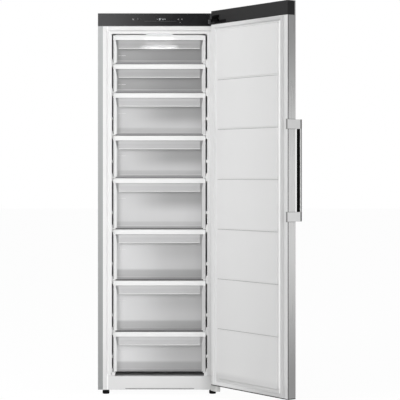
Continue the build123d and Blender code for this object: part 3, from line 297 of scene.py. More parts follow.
def ink(name, grey):
    """Silk-screen ink, a little uneven."""
    made = Finish(name)
    colour = (grey, grey, grey, 1)
    made.cover(made.noise(700.0, 1.0), tint(colour, 0.85), tint(colour, 1.1))
    made.give("Roughness", 0.4)
    return made


def flange_steel():
    """The grey sheet of the cabinet: coated, with painted light and shade, lighter at the top and darker
    towards the floor.
    """
    colour = looks().cabinet_colour
    made = painted("cabinet_sheet", colour, 0.42, 0.35)
    # painted shade and highlight: lighter at the top and darker towards the floor, as light falls on the
    # sheet
    low = 1.0 - made.along("Z") / 1.85
    mask = low * 0.8 + made.noise(420.0, 1.0) * 0.2
    made.cover(mask, tint(colour, 1.2), tint(colour, 0.72))
    return made


def spangle():
    """Galvanised sheet with its dull zinc flowers."""
    made = Finish("zinc_sheet")
    values = {"Vector": made.place, "Scale": 75.0}
    cells = made.node("ShaderNodeTexVoronoi", None, values, out="Color")
    flower = made.node("ShaderNodeRGBToBW", None, {0: cells})
    stain = made.noise(6.0, 4.0)
    tone = flower * 0.6 + stain * 0.4
    made.cover(tone, (0.36, 0.37, 0.37, 1), (0.58, 0.59, 0.59, 1))
    made.give("Metallic", 0.7)
    made.give("Roughness", flower * 0.18 + stain * 0.1 + 0.36)
    made.bump(stain, 0.08, 0.6 * MM)
    return made


def thermoformed(name):
    """White thermoformed sheet with a soft sheen."""
    made = moulded(name, looks().liner_colour, 0.3, 0.5)
    made.give("Coat Weight", 0.15)
    made.give("Coat Roughness", 0.2)
    return made


def liner_white():
    """The cabinet's liner: painted shade greyer low down, most of all beside the hinge, and a painted
    highlight on the rebate.
    """
    colour = looks().liner_colour
    made = thermoformed("liner_white")
    x, z = made.along("X"), made.along("Z")
    # painted shade: greyer low down, most of all beside the hinge
    hinge_side = made.ramp(x, *HINGE_SIDE)
    low = made.ramp(z, *LOW_AT_HINGE) * hinge_side
    low = low + made.ramp(z, *LOW_AT_LEFT) * (1.0 - hinge_side) * 0.4
    made.tone(low, tint(colour, 0.72))
    # painted highlight: the rebate's sloping face made lighter
    rebate_highlight = made.band(x, -255 * MM, -247 * MM, 1.5 * MM)
    made.tone(rebate_highlight, tint(colour, 1.16))
    return made


def door_width(made):
    """Where a point of the open door lies across its width, from its hinge, in metres."""
    hinge, turn = Vector(joint("door_hinge")["pos_m"]), looks().door_open
    across = made.along("X") * math.cos(turn) + made.along("Y") * math.sin(turn)
    return across - (hinge.x * math.cos(turn) + hinge.y * math.sin(turn))


def door_liner_white():
    """The door's liner, with painted shade greyer towards its free edge and foot, and a painted highlight
    beside the raised panel.
    """
    colour = looks().liner_colour
    made = thermoformed("door_liner_white")
    across, z = door_width(made), made.along("Z")
    # painted shade: greyer towards the free edge and low down, and darker again at the foot
    painted_shade = made.ramp(across, *DOOR_LINER_FREE) * 0.75 + made.ramp(z, *DOOR_LINER_LOW) * 0.45
    made.tone(painted_shade, tint(colour, 0.84))
    made.tone(made.ramp(z, *DOOR_LINER_FOOT), tint(colour, 0.78))
    # painted highlight: white along the raised panel's side
    made.tone(made.band(across, -526.5 * MM, -518 * MM, 1 * MM), WHITE)
    return made


def frame_white(number):
    """White rail and strips of one drawer, with painted shade on the strips beside the box and the liner.
    """
    low, high = span(f"drawer_front_{number}")
    colour = looks().frame_colour
    made = moulded(f"frame_white_{number}", colour, 0.34, 0.7)
    x, z = made.along("X"), made.along("Z")
    rail = high.z - RAIL_DROP
    below_rail = made.ramp(z, rail, rail - 1 * MM)
    # painted shadow of the side gap on the left strip's outer edge
    made.tone(made.ramp(x, -221.5 * MM, -222.5 * MM) * below_rail, tint(colour, 0.5))
    # painted shade on the left strip beside the box
    left_strip_shade = made.ramp(x, -211 * MM, -209 * MM) * made.ramp(x, 10 * MM, 0.0)
    made.tone(left_strip_shade * below_rail, tint(colour, 0.78))
    # painted shade on the right strip, lighter higher up and darkest beside the box
    right = made.ramp(x, 203 * MM, 204 * MM) * below_rail
    made.tone(right, tint(colour, 0.66 + 0.1 * low.z))
    made.tone(right * made.ramp(x, 208.5 * MM, 206.5 * MM), tint(colour, 0.4))
    return made


def frosted(number):
    """Milky see-through plastic of one drawer.

    Its colour holds painted light and shade: a little greyer towards the hinge side, under the grip and
    along the bottom, lighter on the grip, and a painted light line where the drawer's floor shows through.
    """
    low, high = span(f"drawer_box_{number}")
    shade = SHADES[number]
    made = Finish(f"frosted_drawer_{number}")
    flow = made.noise(1.0, 3.0, made.scaled(5.0, 5.0, 1.6))
    grit = made.noise(900.0, 2.0)
    z = made.along("Z")
    # painted shade and highlight: hinge side, under the grip and foot darker, grip lighter
    side = made.ramp(made.along("X"), -0.2, 0.1)
    edge = high.z - GRIP_DROP
    over = made.ramp(z, edge - 2 * MM, edge)
    upper = made.ramp(z, edge + 26 * MM, edge + 29 * MM)
    deep = made.ramp(z, edge - 110 * MM, edge - 35 * MM)
    above_lip = made.ramp(z, low.z + 6 * MM, low.z + 7.5 * MM)
    line = made.band(z, low.z + 6 * MM, low.z + 12 * MM, 1.5 * MM)
    foot = made.ramp(z, low.z + shade["height"], low.z + shade["height"] * 0.7)
    body = (1.0 - side * (deep * shade["deep"] + shade["side"])) * (1.0 - foot * shade["foot"])
    body = body * (line * 0.2 + 1.0) * (above_lip * 0.3 + 0.7)
    grip = (upper * 0.06 + (1.0 + shade["grip"])) * (1.0 - side * 0.08)
    tone = (body * (1.0 - over) + grip * over) * DRAWER_LEVELS[number]
    mask = tone * (flow * 0.06 + grit * 0.04 + 0.95)
    made.cover(mask, BLACK, looks().drawer_colour)
    made.give("Roughness", flow * 0.1 + grit * 0.06 + 0.27)
    made.give("Alpha", flow * 0.08 + (looks().drawer_density - 0.04))
    made.give("IOR", PLASTIC_IOR)
    made.bump(grit, 0.1, 0.3 * MM)
    return made


def drawer_skirt():
    """A grey sheet of painted shade in the gap under each drawer's front, darker on the lower drawers."""
    made = Finish("drawer_skirt")
    mask = made.ramp(made.along("Z"), 0.7, 1.1) * 0.85 + made.noise(40.0) * 0.15
    made.cover(mask, (0.11, 0.11, 0.112, 1), (0.28, 0.28, 0.285, 1))
    made.give("Roughness", made.noise(900.0) * 0.1 + 0.5)
    return made


def black_window():
    """Black gloss window of the controls."""
    made = Finish("black_window")
    smear = made.noise(9.0, 3.0)
    made.cover(smear, (0.008, 0.008, 0.009, 1), (0.018, 0.018, 0.02, 1))
    made.give("Roughness", smear * 0.08 + 0.07)
    made.give("IOR", 1.5)
    return made


def cap_black():
    """The door's end caps, a slightly greyer black with a fine leather-like texture."""
    made = moulded("cap_black", looks().cap_colour, 0.46, 1.4)
    made.give("IOR", 1.36)
    return made


def soft_seal():
    """Soft magnetic gasket, greyer at the door's free side by painted shade."""
    made = moulded("soft_seal", (0.85, 0.85, 0.85, 1), 0.5, 0.8)
    # painted shade towards the door's free side
    made.tone(made.ramp(door_width(made), *GASKET_FREE), (0.61, 0.61, 0.61, 1))
    made.give("Sheen Weight", 0.1)
    return made


def door_steel():
    """Brushed steel of the door, its grain running up the door, with painted shade towards both ends."""
    colour = looks().steel_colour
    made = brushed("door_steel", colour, looks().steel_roughness)
    z = made.along("Z")
    # painted shade at both ends, where the steel's reflection falls off
    made.tone(made.ramp(z, 0.75, 0.1), tint(colour, 0.42))
    made.tone(made.ramp(z, 1.12, 1.72), tint(colour, 0.7))
    return made


def handle_metal():
    """Brushed metal of the handle's brackets."""
    return brushed("handle_metal", looks().handle_colour, 0.34, (900.0, 900.0, 14.0), 0.9)


def copper():
    """Drawn copper tube, browned in patches."""
    made = Finish("copper_tube")
    patch = made.noise(45.0, 4.0)
    made.cover(patch ** 1.5, (0.3, 0.13, 0.07, 1), (0.78, 0.42, 0.26, 1))
    made.give("Metallic", 1.0)
    made.give("Roughness", patch * 0.2 + 0.22)
    return made


def shell_paint():
    """Thick black paint of the compressor."""
    made = painted("compressor_paint", (0.018, 0.018, 0.02, 1), 0.34)
    made.give("Coat Weight", 0.3)
    return made


def foam():
    """Cut and skinned foam with its cells."""
    made = Finish("insulation_foam")
    values = {"Vector": made.place, "Scale": 420.0}
    cells = made.node("ShaderNodeTexVoronoi", None, values, out="Distance")
    cloud = made.noise(14.0, 4.0)
    made.cover(cells + cloud * 0.4, (0.6, 0.5, 0.28, 1), (0.84, 0.77, 0.54, 1))
    made.give("Roughness", 0.85)
    made.bump(cells, 0.5, 1 * MM)
    return made


def circuit():
    """Green board with its tracks and pads."""
    made = Finish("circuit_board")
    values = {"Vector": made.scaled(1, 0, 1), "Scale": 160.0}
    tracks = made.node("ShaderNodeTexBrick", {"offset": 0.5}, values, out="Fac")
    made.cover(tracks, (0.01, 0.1, 0.035, 1), (0.02, 0.2, 0.07, 1))
    made.give("Roughness", 0.35)
    return made


def lamp_cover():
    """Frosted lamp cover, lit from behind by its row of lamps."""
    made = Finish("lamp_cover")
    wave = made.noise(90.0, 1.0)
    made.cover(wave, (0.86, 0.88, 0.9, 1), (0.95, 0.96, 0.97, 1))
    made.give("Roughness", wave * 0.1 + 0.25)
    made.give("Emission Color", made.blend(wave, (0.88, 0.94, 1.0, 1), WHITE))
    made.give("Emission Strength", looks().lamp_glow)
    return made


def panel_light():
    """Lit figures of the display."""
    made = Finish("panel_light")
    made.give("Base Color", (0.6, 0.62, 0.65, 1))
    made.give("Emission Color", made.blend(made.noise(500.0, 1.0), (0.8, 0.88, 0.95, 1), WHITE))
    made.give("Emission Strength", 0.45)
    return made


MOULDED = {  # colour, roughness and how strong the texture is
    # frosted_edge is lighter than the drawers' plastic, so on each grip's lip it is a painted highlight
    "frosted_edge": ((0.76, 0.76, 0.76, 1), 0.3, 0.6),
    "black_moulding": ((0.024, 0.024, 0.026, 1), 0.42, 1.2),
    "black_rubber": ((0.022, 0.022, 0.022, 1), 0.75, 1.8),
    "bracket_grey": ((0.2, 0.2, 0.2, 1), 0.5),
    "clip_grey": ((0.075, 0.075, 0.077, 1), 0.45),
    "groove_grey": ((0.36, 0.36, 0.36, 1), 0.5, 0.5),
    "ledge_white": ((0.8, 0.8, 0.8, 1), 0.4, 0.6),
    "acetal": ((0.8, 0.8, 0.77, 1), 0.4),
}
BRUSHED = {  # colour, roughness, how fine the scratches are along x, y and z, how metallic
    "bar_metal": ((0.56, 0.56, 0.56, 1), 0.36, (900.0, 900.0, 14.0), 0.9),
    "zinc_plate": ((0.62, 0.62, 0.61, 1), 0.42, (160.0, 160.0, 120.0), 0.55),
    "fin_aluminium": ((0.72, 0.73, 0.74, 1), 0.34, (90.0, 400.0, 90.0), 0.95),
}
DULL_BLACKS = {"arm_paint": 0.003, "foot_rubber": 0.007}
# plinth_shade is a dark line of painted shadow, not print
INKS = {"panel_print": 0.55, "panel_line": 0.14, "plinth_shade": 0.05}

RECIPES = {
    "cabinet_sheet": flange_steel,
    "zinc_sheet": spangle,
    "liner_white": liner_white,
    "black_window": black_window,
    "cap_black": cap_black,
    "soft_seal": soft_seal,
    "drawer_skirt": drawer_skirt,
    "door_liner_white": door_liner_white,
    "door_steel": door_steel,
    "handle_metal": handle_metal,
    "copper_tube": copper,
    "compressor_paint": shell_paint,
    "insulation_foam": foam,
    "circuit_board": circuit,
    "lamp_cover": lamp_cover,
    "panel_light": panel_light,
    **{name: partial(moulded, name, *values) for name, values in MOULDED.items()},
    **{name: partial(brushed, name, *values) for name, values in BRUSHED.items()},
    **{name: partial(dull_black, name, grey) for name, grey in DULL_BLACKS.items()},
    **{name: partial(ink, name, grey) for name, grey in INKS.items()},
    **{f"frosted_drawer_{number}": partial(frosted, number) for number in DRAWERS},
    **{f"frame_white_{number}": partial(frame_white, number) for number in DRAWERS},
}

CABINET_FINISHES = {
    "outer_wrapper": "cabinet_sheet",
    "back_panel": "zinc_sheet",
    "base_tray": "zinc_sheet",
    "bay_sheet": "zinc_sheet",
    "inner_liner": "liner_white",
    "evaporator_cover": "liner_white",
    "cabinet_foam": "insulation_foam",
    "control_housing": "black_moulding",
    "control_glass": "black_window",
    "control_board": "circuit_board",
    "hinge_cover": "black_moulding",
    "top_hinge_arm": "arm_paint",
    "bottom_hinge_bracket": "zinc_plate",
    "hinge_screws": "zinc_plate",
    "lamp_board": "circuit_board",
    "lamp_lens": "lamp_cover",
    "mains_inlet": "black_moulding",
    "left_foot": "foot_rubber",
    "right_foot": "foot_rubber",
    "left_roller": "black_rubber",
    "right_roller": "black_rubber",
    "roller_brackets": "zinc_sheet",
}
COOLING_FINISHES = {
    "compressor": "compressor_paint",
    "compressor_mounts": "black_rubber",
    "relay_box": "black_moulding",
    "condenser_tube": "zinc_plate",
    "filter_drier": "copper_tube",
    "bay_pipes": "copper_tube",
    "evaporator": "fin_aluminium",
    "fan_blade": "black_moulding",
    "fan_motor": "black_moulding",
    "defrost_heater": "fin_aluminium",
    "drain_tube": "black_moulding",
    "drip_tray": "black_moulding",
}
DOOR_FINISHES = {
    "door_skin": "door_steel",
    "door_liner": "door_liner_white",
    "door_foam": "insulation_foam",
    "door_gasket": "soft_seal",
    "door_top_cap": "cap_black",
    "door_bottom_cap": "cap_black",
    "door_bushes": "acetal",
    "handle_bar": "bar_metal",
    "handle_brackets": "handle_metal",
}


def dress(choices):
    """Gives CAD nodes their finishes."""
    for node, name in choices.items():
        mesh = frame["nodes"][node].data
        mesh.materials.clear()
        mesh.materials.append(finish(name))


# ------------------------------------------------------------------ making pieces
def door_place():
    """The matrix from the closed door's own axes, at its hinge, to where the open door stands."""
    hinge = Vector(joint("door_hinge")["pos_m"])
    return Matrix.Translation((hinge.x, hinge.y, 0)) @ Matrix.Rotation(looks().door_open, 4, "Z")


def near(place, *corners):
    """Corners given in millimetres from a place, as vectors in metres."""
    return [Vector(place) + Vector(corner) * MM for corner in corners]


def disc(bm, centre, radius, depth, sides=32):
    """Adds a short upright cylinder round a centre."""
    bmesh.ops.create_cone(
        bm,
        cap_ends=True,
        segments=sides,
        radius1=radius,
        radius2=radius,
        depth=depth,
        matrix=Matrix.Translation(centre),
    )


def stroke(bm, start, end, width, front, thick):
    """Adds a thin bar on the front of the window, between two places in x and z."""
    start, end = Vector((start[0], 0, start[1])), Vector((end[0], 0, end[1]))
    along = (end - start).normalized()
    angle = math.atan2(-along.z, along.x)
    size = ((end - start).length + width, thick, width)
    place = Matrix.Translation((start + end) / 2 + Vector((0, front - thick / 2, 0)))
    place = place @ Matrix.Rotation(angle, 4, "Y") @ Matrix.Diagonal((*size, 1))
    bmesh.ops.create_cube(bm, size=1, matrix=place)


def piece(name, bm, finish_name, body, place=None, bevel=0.0):
    """Turns a bmesh into a finished piece that rides on a body."""
    if place is not None:
        bmesh.ops.transform(bm, matrix=place, verts=bm.verts)
    bmesh.ops.recalc_face_normals(bm, faces=bm.faces)
    mesh = bpy.data.meshes.new(name)
    bm.to_mesh(mesh)
    bm.free()
    mesh.materials.append(finish(finish_name))
    made = bpy.data.objects.new(name, mesh)
    bpy.context.scene.collection.objects.link(made)
    if bevel:
        edge = made.modifiers.new("bevel", "BEVEL")
        edge.width = bevel
        edge.segments = 2
        edge.limit_method = "ANGLE"
    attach(made, body)


def boxes(name, corners, finish_name, body, place=None, bevel=0.0):
    """A finished piece made of boxes, each between two corners."""
    bm = bmesh.new()
    for low, high in corners:
        low, high = Vector(low), Vector(high)
        shape = Matrix.Translation((low + high) / 2) @ Matrix.Diagonal((*(high - low), 1))
        bmesh.ops.create_cube(bm, size=1, matrix=shape)
    piece(name, bm, finish_name, body, place, bevel)


# ------------------------------------------------------------------ repeated shapes
class Repeats:
    """A Geometry Nodes tree that repeats a small shape, with named sizes."""

    def __init__(self, name, sizes):
        self.tree = bpy.data.node_groups.new(name, "GeometryNodeTree")
        self.inputs = {}
        for label, default in sizes.items():
            kind = "NodeSocketInt" if isinstance(default, int) else "NodeSocketFloat"
            socket = self.tree.interface.new_socket(label, in_out="INPUT", socket_type=kind)
            socket.default_value = default
            self.inputs[label] = socket.identifier
        self.tree.interface.new_socket("Geometry", in_out="OUTPUT", socket_type="NodeSocketGeometry")
        self.entry = self.tree.nodes.new("NodeGroupInput")

    def size(self, label):
        """The socket of a named size."""
        return self.entry.outputs[label]

    def node(self, kind, values):
        """Adds a node; values are sockets, nodes or plain values."""
        made = self.tree.nodes.new(kind)
        for key, value in values.items():
            for part in value if isinstance(value, list) else [value]:
                if isinstance(part, bpy.types.Node):
                    part = part.outputs[0]
                if isinstance(part, bpy.types.NodeSocket):
                    self.tree.links.new(part, made.inputs[key])
                else:
                    made.inputs[key].default_value = part
        return made

    def row(self):
        """Points one above the other, as many as Count says and Pitch apart."""
        offset = self.node("ShaderNodeCombineXYZ", {"Z": self.size("Pitch")})
        return self.node("GeometryNodeMeshLine", {"Count": self.size("Count"), "Offset": offset})

    def end(self, points, shape, material, turn=(0, 0, 0)):
        """Puts the shape on the points and closes the tree."""
        values = {"Points": points, "Instance": shape, "Rotation": turn}
        placed = self.node("GeometryNodeInstanceOnPoints", values)
        real = self.node("GeometryNodeRealizeInstances", {0: placed})
        dressed = self.node("GeometryNodeSetMaterial", {0: real, "Material": finish(material)})
        self.node("NodeGroupOutput", {0: dressed})

    def make(self, name, values, finish_name, body, slot, place=None, bevel=0.0):
        """Runs the tree with these sizes and gives the result as a plain piece."""
        carrier = bpy.data.objects.new(name + "_carrier", bpy.data.meshes.new(name + "_carrier"))
        bpy.context.scene.collection.objects.link(carrier)
        modifier = carrier.modifiers.new("repeats", "NODES")
        modifier.node_group = self.tree
        for label, value in values.items():
            modifier[self.inputs[label]] = value
        ready = carrier.evaluated_get(bpy.context.evaluated_depsgraph_get())
        mesh = bpy.data.meshes.new_from_object(ready)
        bm = bmesh.new()
        bm.from_mesh(mesh)
        bpy.data.meshes.remove(mesh)
        bpy.data.objects.remove(carrier)
        piece(name, bm, finish_name, body, place, bevel)


def screw_row():
    """A row of pan-head screws along z, their heads facing +y, each with a cross recess."""
    tree = Repeats("screw_row", {"Count": 5, "Pitch": 200 * MM, "Radius": 3.5 * MM, "Head": 1.6 * MM})
    values = {"Vertices": 20, "Radius": tree.size("Radius"), "Depth": tree.size("Head")}
    head = tree.node("GeometryNodeMeshCylinder", values)
    bars = ((4.2 * MM, 0.9 * MM, 1.9 * MM), (0.9 * MM, 4.2 * MM, 1.9 * MM))
    cross = [tree.node("GeometryNodeMeshCube", {"Size": size}) for size in bars]
    shape = tree.node("GeometryNodeJoinGeometry", {0: [head, *cross]})
    tree.end(tree.row(), shape, "zinc_plate", turn=(math.pi / 2, 0, 0))
    return tree


def rib_ring():
    """Upright ribs round a foot."""
    tree = Repeats("rib_ring", {"Count": 24, "Radius": 17 * MM, "Rib": 1.6 * MM, "Height": 10 * MM})
    values = {"Vertices": tree.size("Count"), "Radius": tree.size("Radius")}
    ring = tree.node("GeometryNodeMeshCircle", values)
    values = {"Vertices": 8, "Radius": tree.size("Rib"), "Depth": tree.size("Height")}
    tree.end(ring, tree.node("GeometryNodeMeshCylinder", values), "foot_rubber")
    return tree


def bar_stack(material):
    """Level bars one above the other, such as ridges or beads."""
    sizes = {"Count": 3, "Pitch": 10 * MM, "Width": 100 * MM, "Depth": 1 * MM, "Thickness": 1 * MM}
    tree = Repeats("bar_stack_" + material, sizes)
    values = {"X": tree.size("Width"), "Y": tree.size("Depth"), "Z": tree.size("Thickness")}
    size = tree.node("ShaderNodeCombineXYZ", values)
    tree.end(tree.row(), tree.node("GeometryNodeMeshCube", {"Size": size}), material)
    return tree


# ------------------------------------------------------------------ values in the sidebar
def colour_value(label, text, *parts):
    """A colour in the sidebar."""
    return bpy.props.FloatVectorProperty(
        name=label, description=text, size=4, subtype="COLOR", default=(*parts, 1)
    )


def number_value(label, text, default, subtype="NONE", **limits):
    """A number in the sidebar."""
    return bpy.props.FloatProperty(name=label, description=text, default=default, subtype=subtype, **limits)


class FreezerLooks(bpy.types.PropertyGroup):
    """Sizes and colours of the freezer's finish and stage."""

    cabinet_colour: colour_value("Cabinet", "Grey of the outer sheet", 0.42, 0.43, 0.43)
    liner_colour: colour_value("Liner", "White of the inner liner", 0.87, 0.87, 0.868)
    frame_colour: colour_value("Drawer frames", "White of rails", 0.92, 0.92, 0.918)
    drawer_colour: colour_value("Drawer boxes", "Milky plastic", 0.9, 0.9, 0.905)
    drawer_density: number_value(
        "Drawer density", "How opaque the drawer plastic is", 0.82, "FACTOR", min=0, max=1
    )
    steel_colour: colour_value("Door steel", "Colour of the brushed door", 0.68, 0.68, 0.678)
    steel_roughness: number_value(
        "Door roughness", "Roughness of the brushed door", 0.3, "FACTOR", min=0, max=1
    )
    cap_colour: colour_value("Door caps", "Black of the door's end caps", 0.006, 0.006, 0.0062)
    handle_colour: colour_value("Handle", "Metal of the handle", 0.72, 0.72, 0.72)
    lamp_glow: number_value("Lamp glow", "Brightness of the lamp's cover", 0.35, min=0, soft_max=10)
    door_open: number_value("Door angle", "How far the door stands open", math.radians(125), "ANGLE")
    print_thickness: number_value("Print thickness", "Height of the window's print", 0.12 * MM, "DISTANCE")
    camera_x: number_value("Camera x", "Camera's place to the right", 0.197, "DISTANCE")
    camera_distance: number_value("Camera distance", "From the cabinet's front", 7.429, "DISTANCE")
    camera_height: number_value("Camera height", "Camera's height over the floor", 1.071, "DISTANCE")
    camera_focus: number_value("Focal length", "In pixels of the picture", 1528.0, "PIXEL")
    horizon: number_value("Horizon", "Its height in the picture, in pixels from the top", 174.0, "PIXEL")
    principal: number_value("Principal point", "In pixels from the picture's left", 199.65, "PIXEL")
    key_power: number_value("Key light", "Power of the large light at the left", 104.0, "POWER")
    fill_power: number_value("Fill light", "Power of the light at the right", 42.0, "POWER")
    front_power: number_value("Front light", "Power of the light round the camera", 142.0, "POWER")
    lamp_power: number_value("Lamp", "Power of the freezer's own lamp", 0.012, "POWER")
    ambient: number_value("Ambient", "Level of the even light all round", 0.42, min=0, soft_max=2)


# ------------------------------------------------------------------ operators
class FREEZER_OT_cabinet(bpy.types.Operator):
    """Finish the cabinet's sheets, liner, hinges and feet"""

    bl_idname = "freezer.cabinet"
    bl_label = "Cabinet finishes"

    def execute(self, context):
        dress(CABINET_FINISHES)
        return {"FINISHED"}


class FREEZER_OT_cooling(bpy.types.Operator):
    """Finish the compressor, pipes, evaporator and fan, and add the stud on the compressor"""

    bl_idname = "freezer.cooling"
    bl_label = "Cooling parts"

    PLATE = {"drop": 1.5 * MM, "radius": 13 * MM, "depth": 4 * MM, "sides": 32}
    NUT = {"drop": 0.5 * MM, "radius": 6 * MM, "depth": 3 * MM, "sides": 6}

    def execute(self, context):
        dress(COOLING_FINISHES)
        low, high = span("compressor")
        centre = (low + high) / 2
        bm = bmesh.new()
        for part in (self.PLATE, self.NUT):
            place = (centre.x, centre.y, high.z - part["drop"])
            disc(bm, place, part["radius"], part["depth"], part["sides"])
        piece("compressor_stud", bm, "zinc_plate", "cabinet", bevel=0.4 * MM)
        return {"FINISHED"}


class FREEZER_OT_drawers(bpy.types.Operator):
    """Finish the drawers and add each grip's edge with its painted highlight and ridge, the level marks,
    grey sheets of painted shade in the gaps, and the bead
    """

    bl_idname = "freezer.drawers"
    bl_label = "Drawers"

    GRIP_W = 396 * MM
    # depth and thickness, then how far behind the frame's front and under its top
    # the grip's edge is a real lip, made lighter than the plastic as a painted highlight
    EDGE = {"size": (2 * MM, 4.4 * MM), "place": (4.4 * MM, 63.6 * MM)}
    RIDGE = {"size": (1.2 * MM, 1.4 * MM), "place": (5.7 * MM, 44 * MM)}
    MARK_DROP = 98 * MM  # from the frame's top to the level marks
    MARKS = ((-201, -190), (-186, -165))  # their left and right ends, in millimetres
    BEAD = ((-212, 1, -0.4), (212, 5, 2.4))  # from the rail's upper front edge, in millimetres

    def grip(self, number, name, part, stack, finish_name, bevel):
        """A level bar across a drawer's grip."""
        low, high = span(f"drawer_front_{number}")
        depth, thickness = part["size"]
        behind, under = part["place"]
        sizes = {"Count": 1, "Width": self.GRIP_W, "Depth": depth, "Thickness": thickness}
        place = Matrix.Translation((0, low.y + behind, high.z - under))
        stack.make(f"{name}_{number}", sizes, finish_name, f"drawer_{number}", "clear_drawer", place, bevel)

    def marks(self, number):
        """Two short raised bars at the left of a drawer's front wall."""
        low, high = span(f"drawer_front_{number}")
        place = (0, low.y + WALL_DEPTH, high.z - self.MARK_DROP)
        bars = [near(place, (left, -0.5, -1.1), (right, 0.3, 1.1)) for left, right in self.MARKS]
        body = f"drawer_{number}"
        boxes(f"level_marks_{number}", bars, "frosted_edge", body, bevel=0.3 * MM)

    def gap_shade(self, number):
        """A grey sheet of painted shade that hangs from a drawer's front into the gap over the next drawer.
        """
        low, high = span(f"drawer_front_{number}")
        left, right = low, Vector((high.x, low.y, low.z))
        corners = [*near(left, (4, 4, -6.2)), *near(right, (-4, 5.4, 0.4))]
        body = f"drawer_{number}"
        boxes(f"skirt_{number}", [corners], "drawer_skirt", body, bevel=0.4 * MM)

    def bead(self):
        """The bead along the top of the uppermost drawer's rail."""
        low, high = span("drawer_front_1")
        corners = near((0, low.y, high.z), *self.BEAD)
        boxes("rail_bead", [corners], "frame_white_1", "drawer_1", bevel=0.4 * MM)

    def execute(self, context):
        edge = bar_stack("frosted_edge")
        for number in DRAWERS:
            plastic = f"frosted_drawer_{number}"
            dress({f"drawer_box_{number}": plastic, f"drawer_front_{number}": f"frame_white_{number}"})
            self.grip(number, "grip_edge", self.EDGE, edge, "frosted_edge", 0.6 * MM)
            self.grip(number, "grip_ridge", self.RIDGE, bar_stack(plastic), plastic, 0.3 * MM)
            self.marks(number)
            if number < DRAWERS[-1]:
                self.gap_shade(number)
        self.bead()
        return {"FINISHED"}


class FREEZER_OT_door(bpy.types.Operator):
    """Finish the door, its caps, gasket and handle, and add its edge beads, the painted shade of its seams,
    grooves and notch, and the cap's fold
    """

    bl_idname = "freezer.door"
    bl_label = "Door"

    # in the closed door's own axes: across from the hinge, outwards to inwards, over the floor
    U_FREE, U_HINGE = -580 * MM, 15 * MM
    V_OUT, V_IN = -20.5 * MM, 25.5 * MM
    # piece, finish, slot, from and to across its edge, from and to over the inner side
    SEAMS = (
        ("edge_bead", "door_liner_white", "white_liner", (0.05, 1.6), (-1.1, -0.05)),
        # edge_seal: a dark strip of painted shade for the shadow gap along the edge
        ("edge_seal", "arm_paint", "black_plastic", (-0.1, 1.4), (-4.8, -1.1)),
    )
    GROOVES = (329.3, 567.9, 806.5, 1045.1, 1283.7, 1522.3)  # their heights in millimetres
    GROOVE_SHADE_LINE = ((-518, 5.6, -0.9), (-47, 6.3, 0.9))
    NOTCH = U_HINGE - 67 * MM  # where the top cap's notch ends
    NOTCH_SHADES = (((-54, -1, 5), (-0.5, 0.4, 19)), ((-0.6, -1, 5), (40, 0.4, 14)))

    def edge_seals(self, place):
        """The liner's edge beads over the sheet's hem, and the dark strips of painted shade beside them."""
        low, high = span("door_liner")
        for side, edge, way in (("free", self.U_FREE, 1), ("hinge", self.U_HINGE, -1)):
            for name, finish_name, slot, across, deep in self.SEAMS:
                u = sorted(edge + way * part * MM for part in across)
                v = [self.V_IN + part * MM for part in deep]
                corners = ((u[0], v[0], low.z), (u[1], v[1], high.z))
                boxes(f"door_{name}_{side}", [corners], finish_name, "door", place)

    def groove_shade_lines(self, place):
        """A fine grey line of painted shade along the bottom of each groove of the raised panel."""
        lines = [near((0, self.V_IN, height * MM), *self.GROOVE_SHADE_LINE) for height in self.GROOVES]
        boxes("door_groove_lines", lines, "groove_grey", "door", place)

    def cap_strips(self, place):
        """Dark strips of painted shade beside the cap's notch, and the sheet's fold on the cap's free end.
        """
        low, high = span("door_top_cap")
        notch_shades = [near((self.NOTCH, self.V_IN, low.z), *corners) for corners in self.NOTCH_SHADES]
        boxes("cap_slide_strip", notch_shades, "arm_paint", "door", place, bevel=0.3 * MM)
        foot = near((self.U_FREE, self.V_OUT, low.z), (-0.2, 0.2, 0))
        head = near((self.U_FREE, self.V_OUT, high.z), (0.8, 6, -0.2))
        boxes("cap_end_fold", [(*foot, *head)], "door_steel", "door", place)

    def execute(self, context):
        dress(DOOR_FINISHES)
        place = door_place()
        self.edge_seals(place)
        self.groove_shade_lines(place)
        self.cap_strips(place)
        return {"FINISHED"}


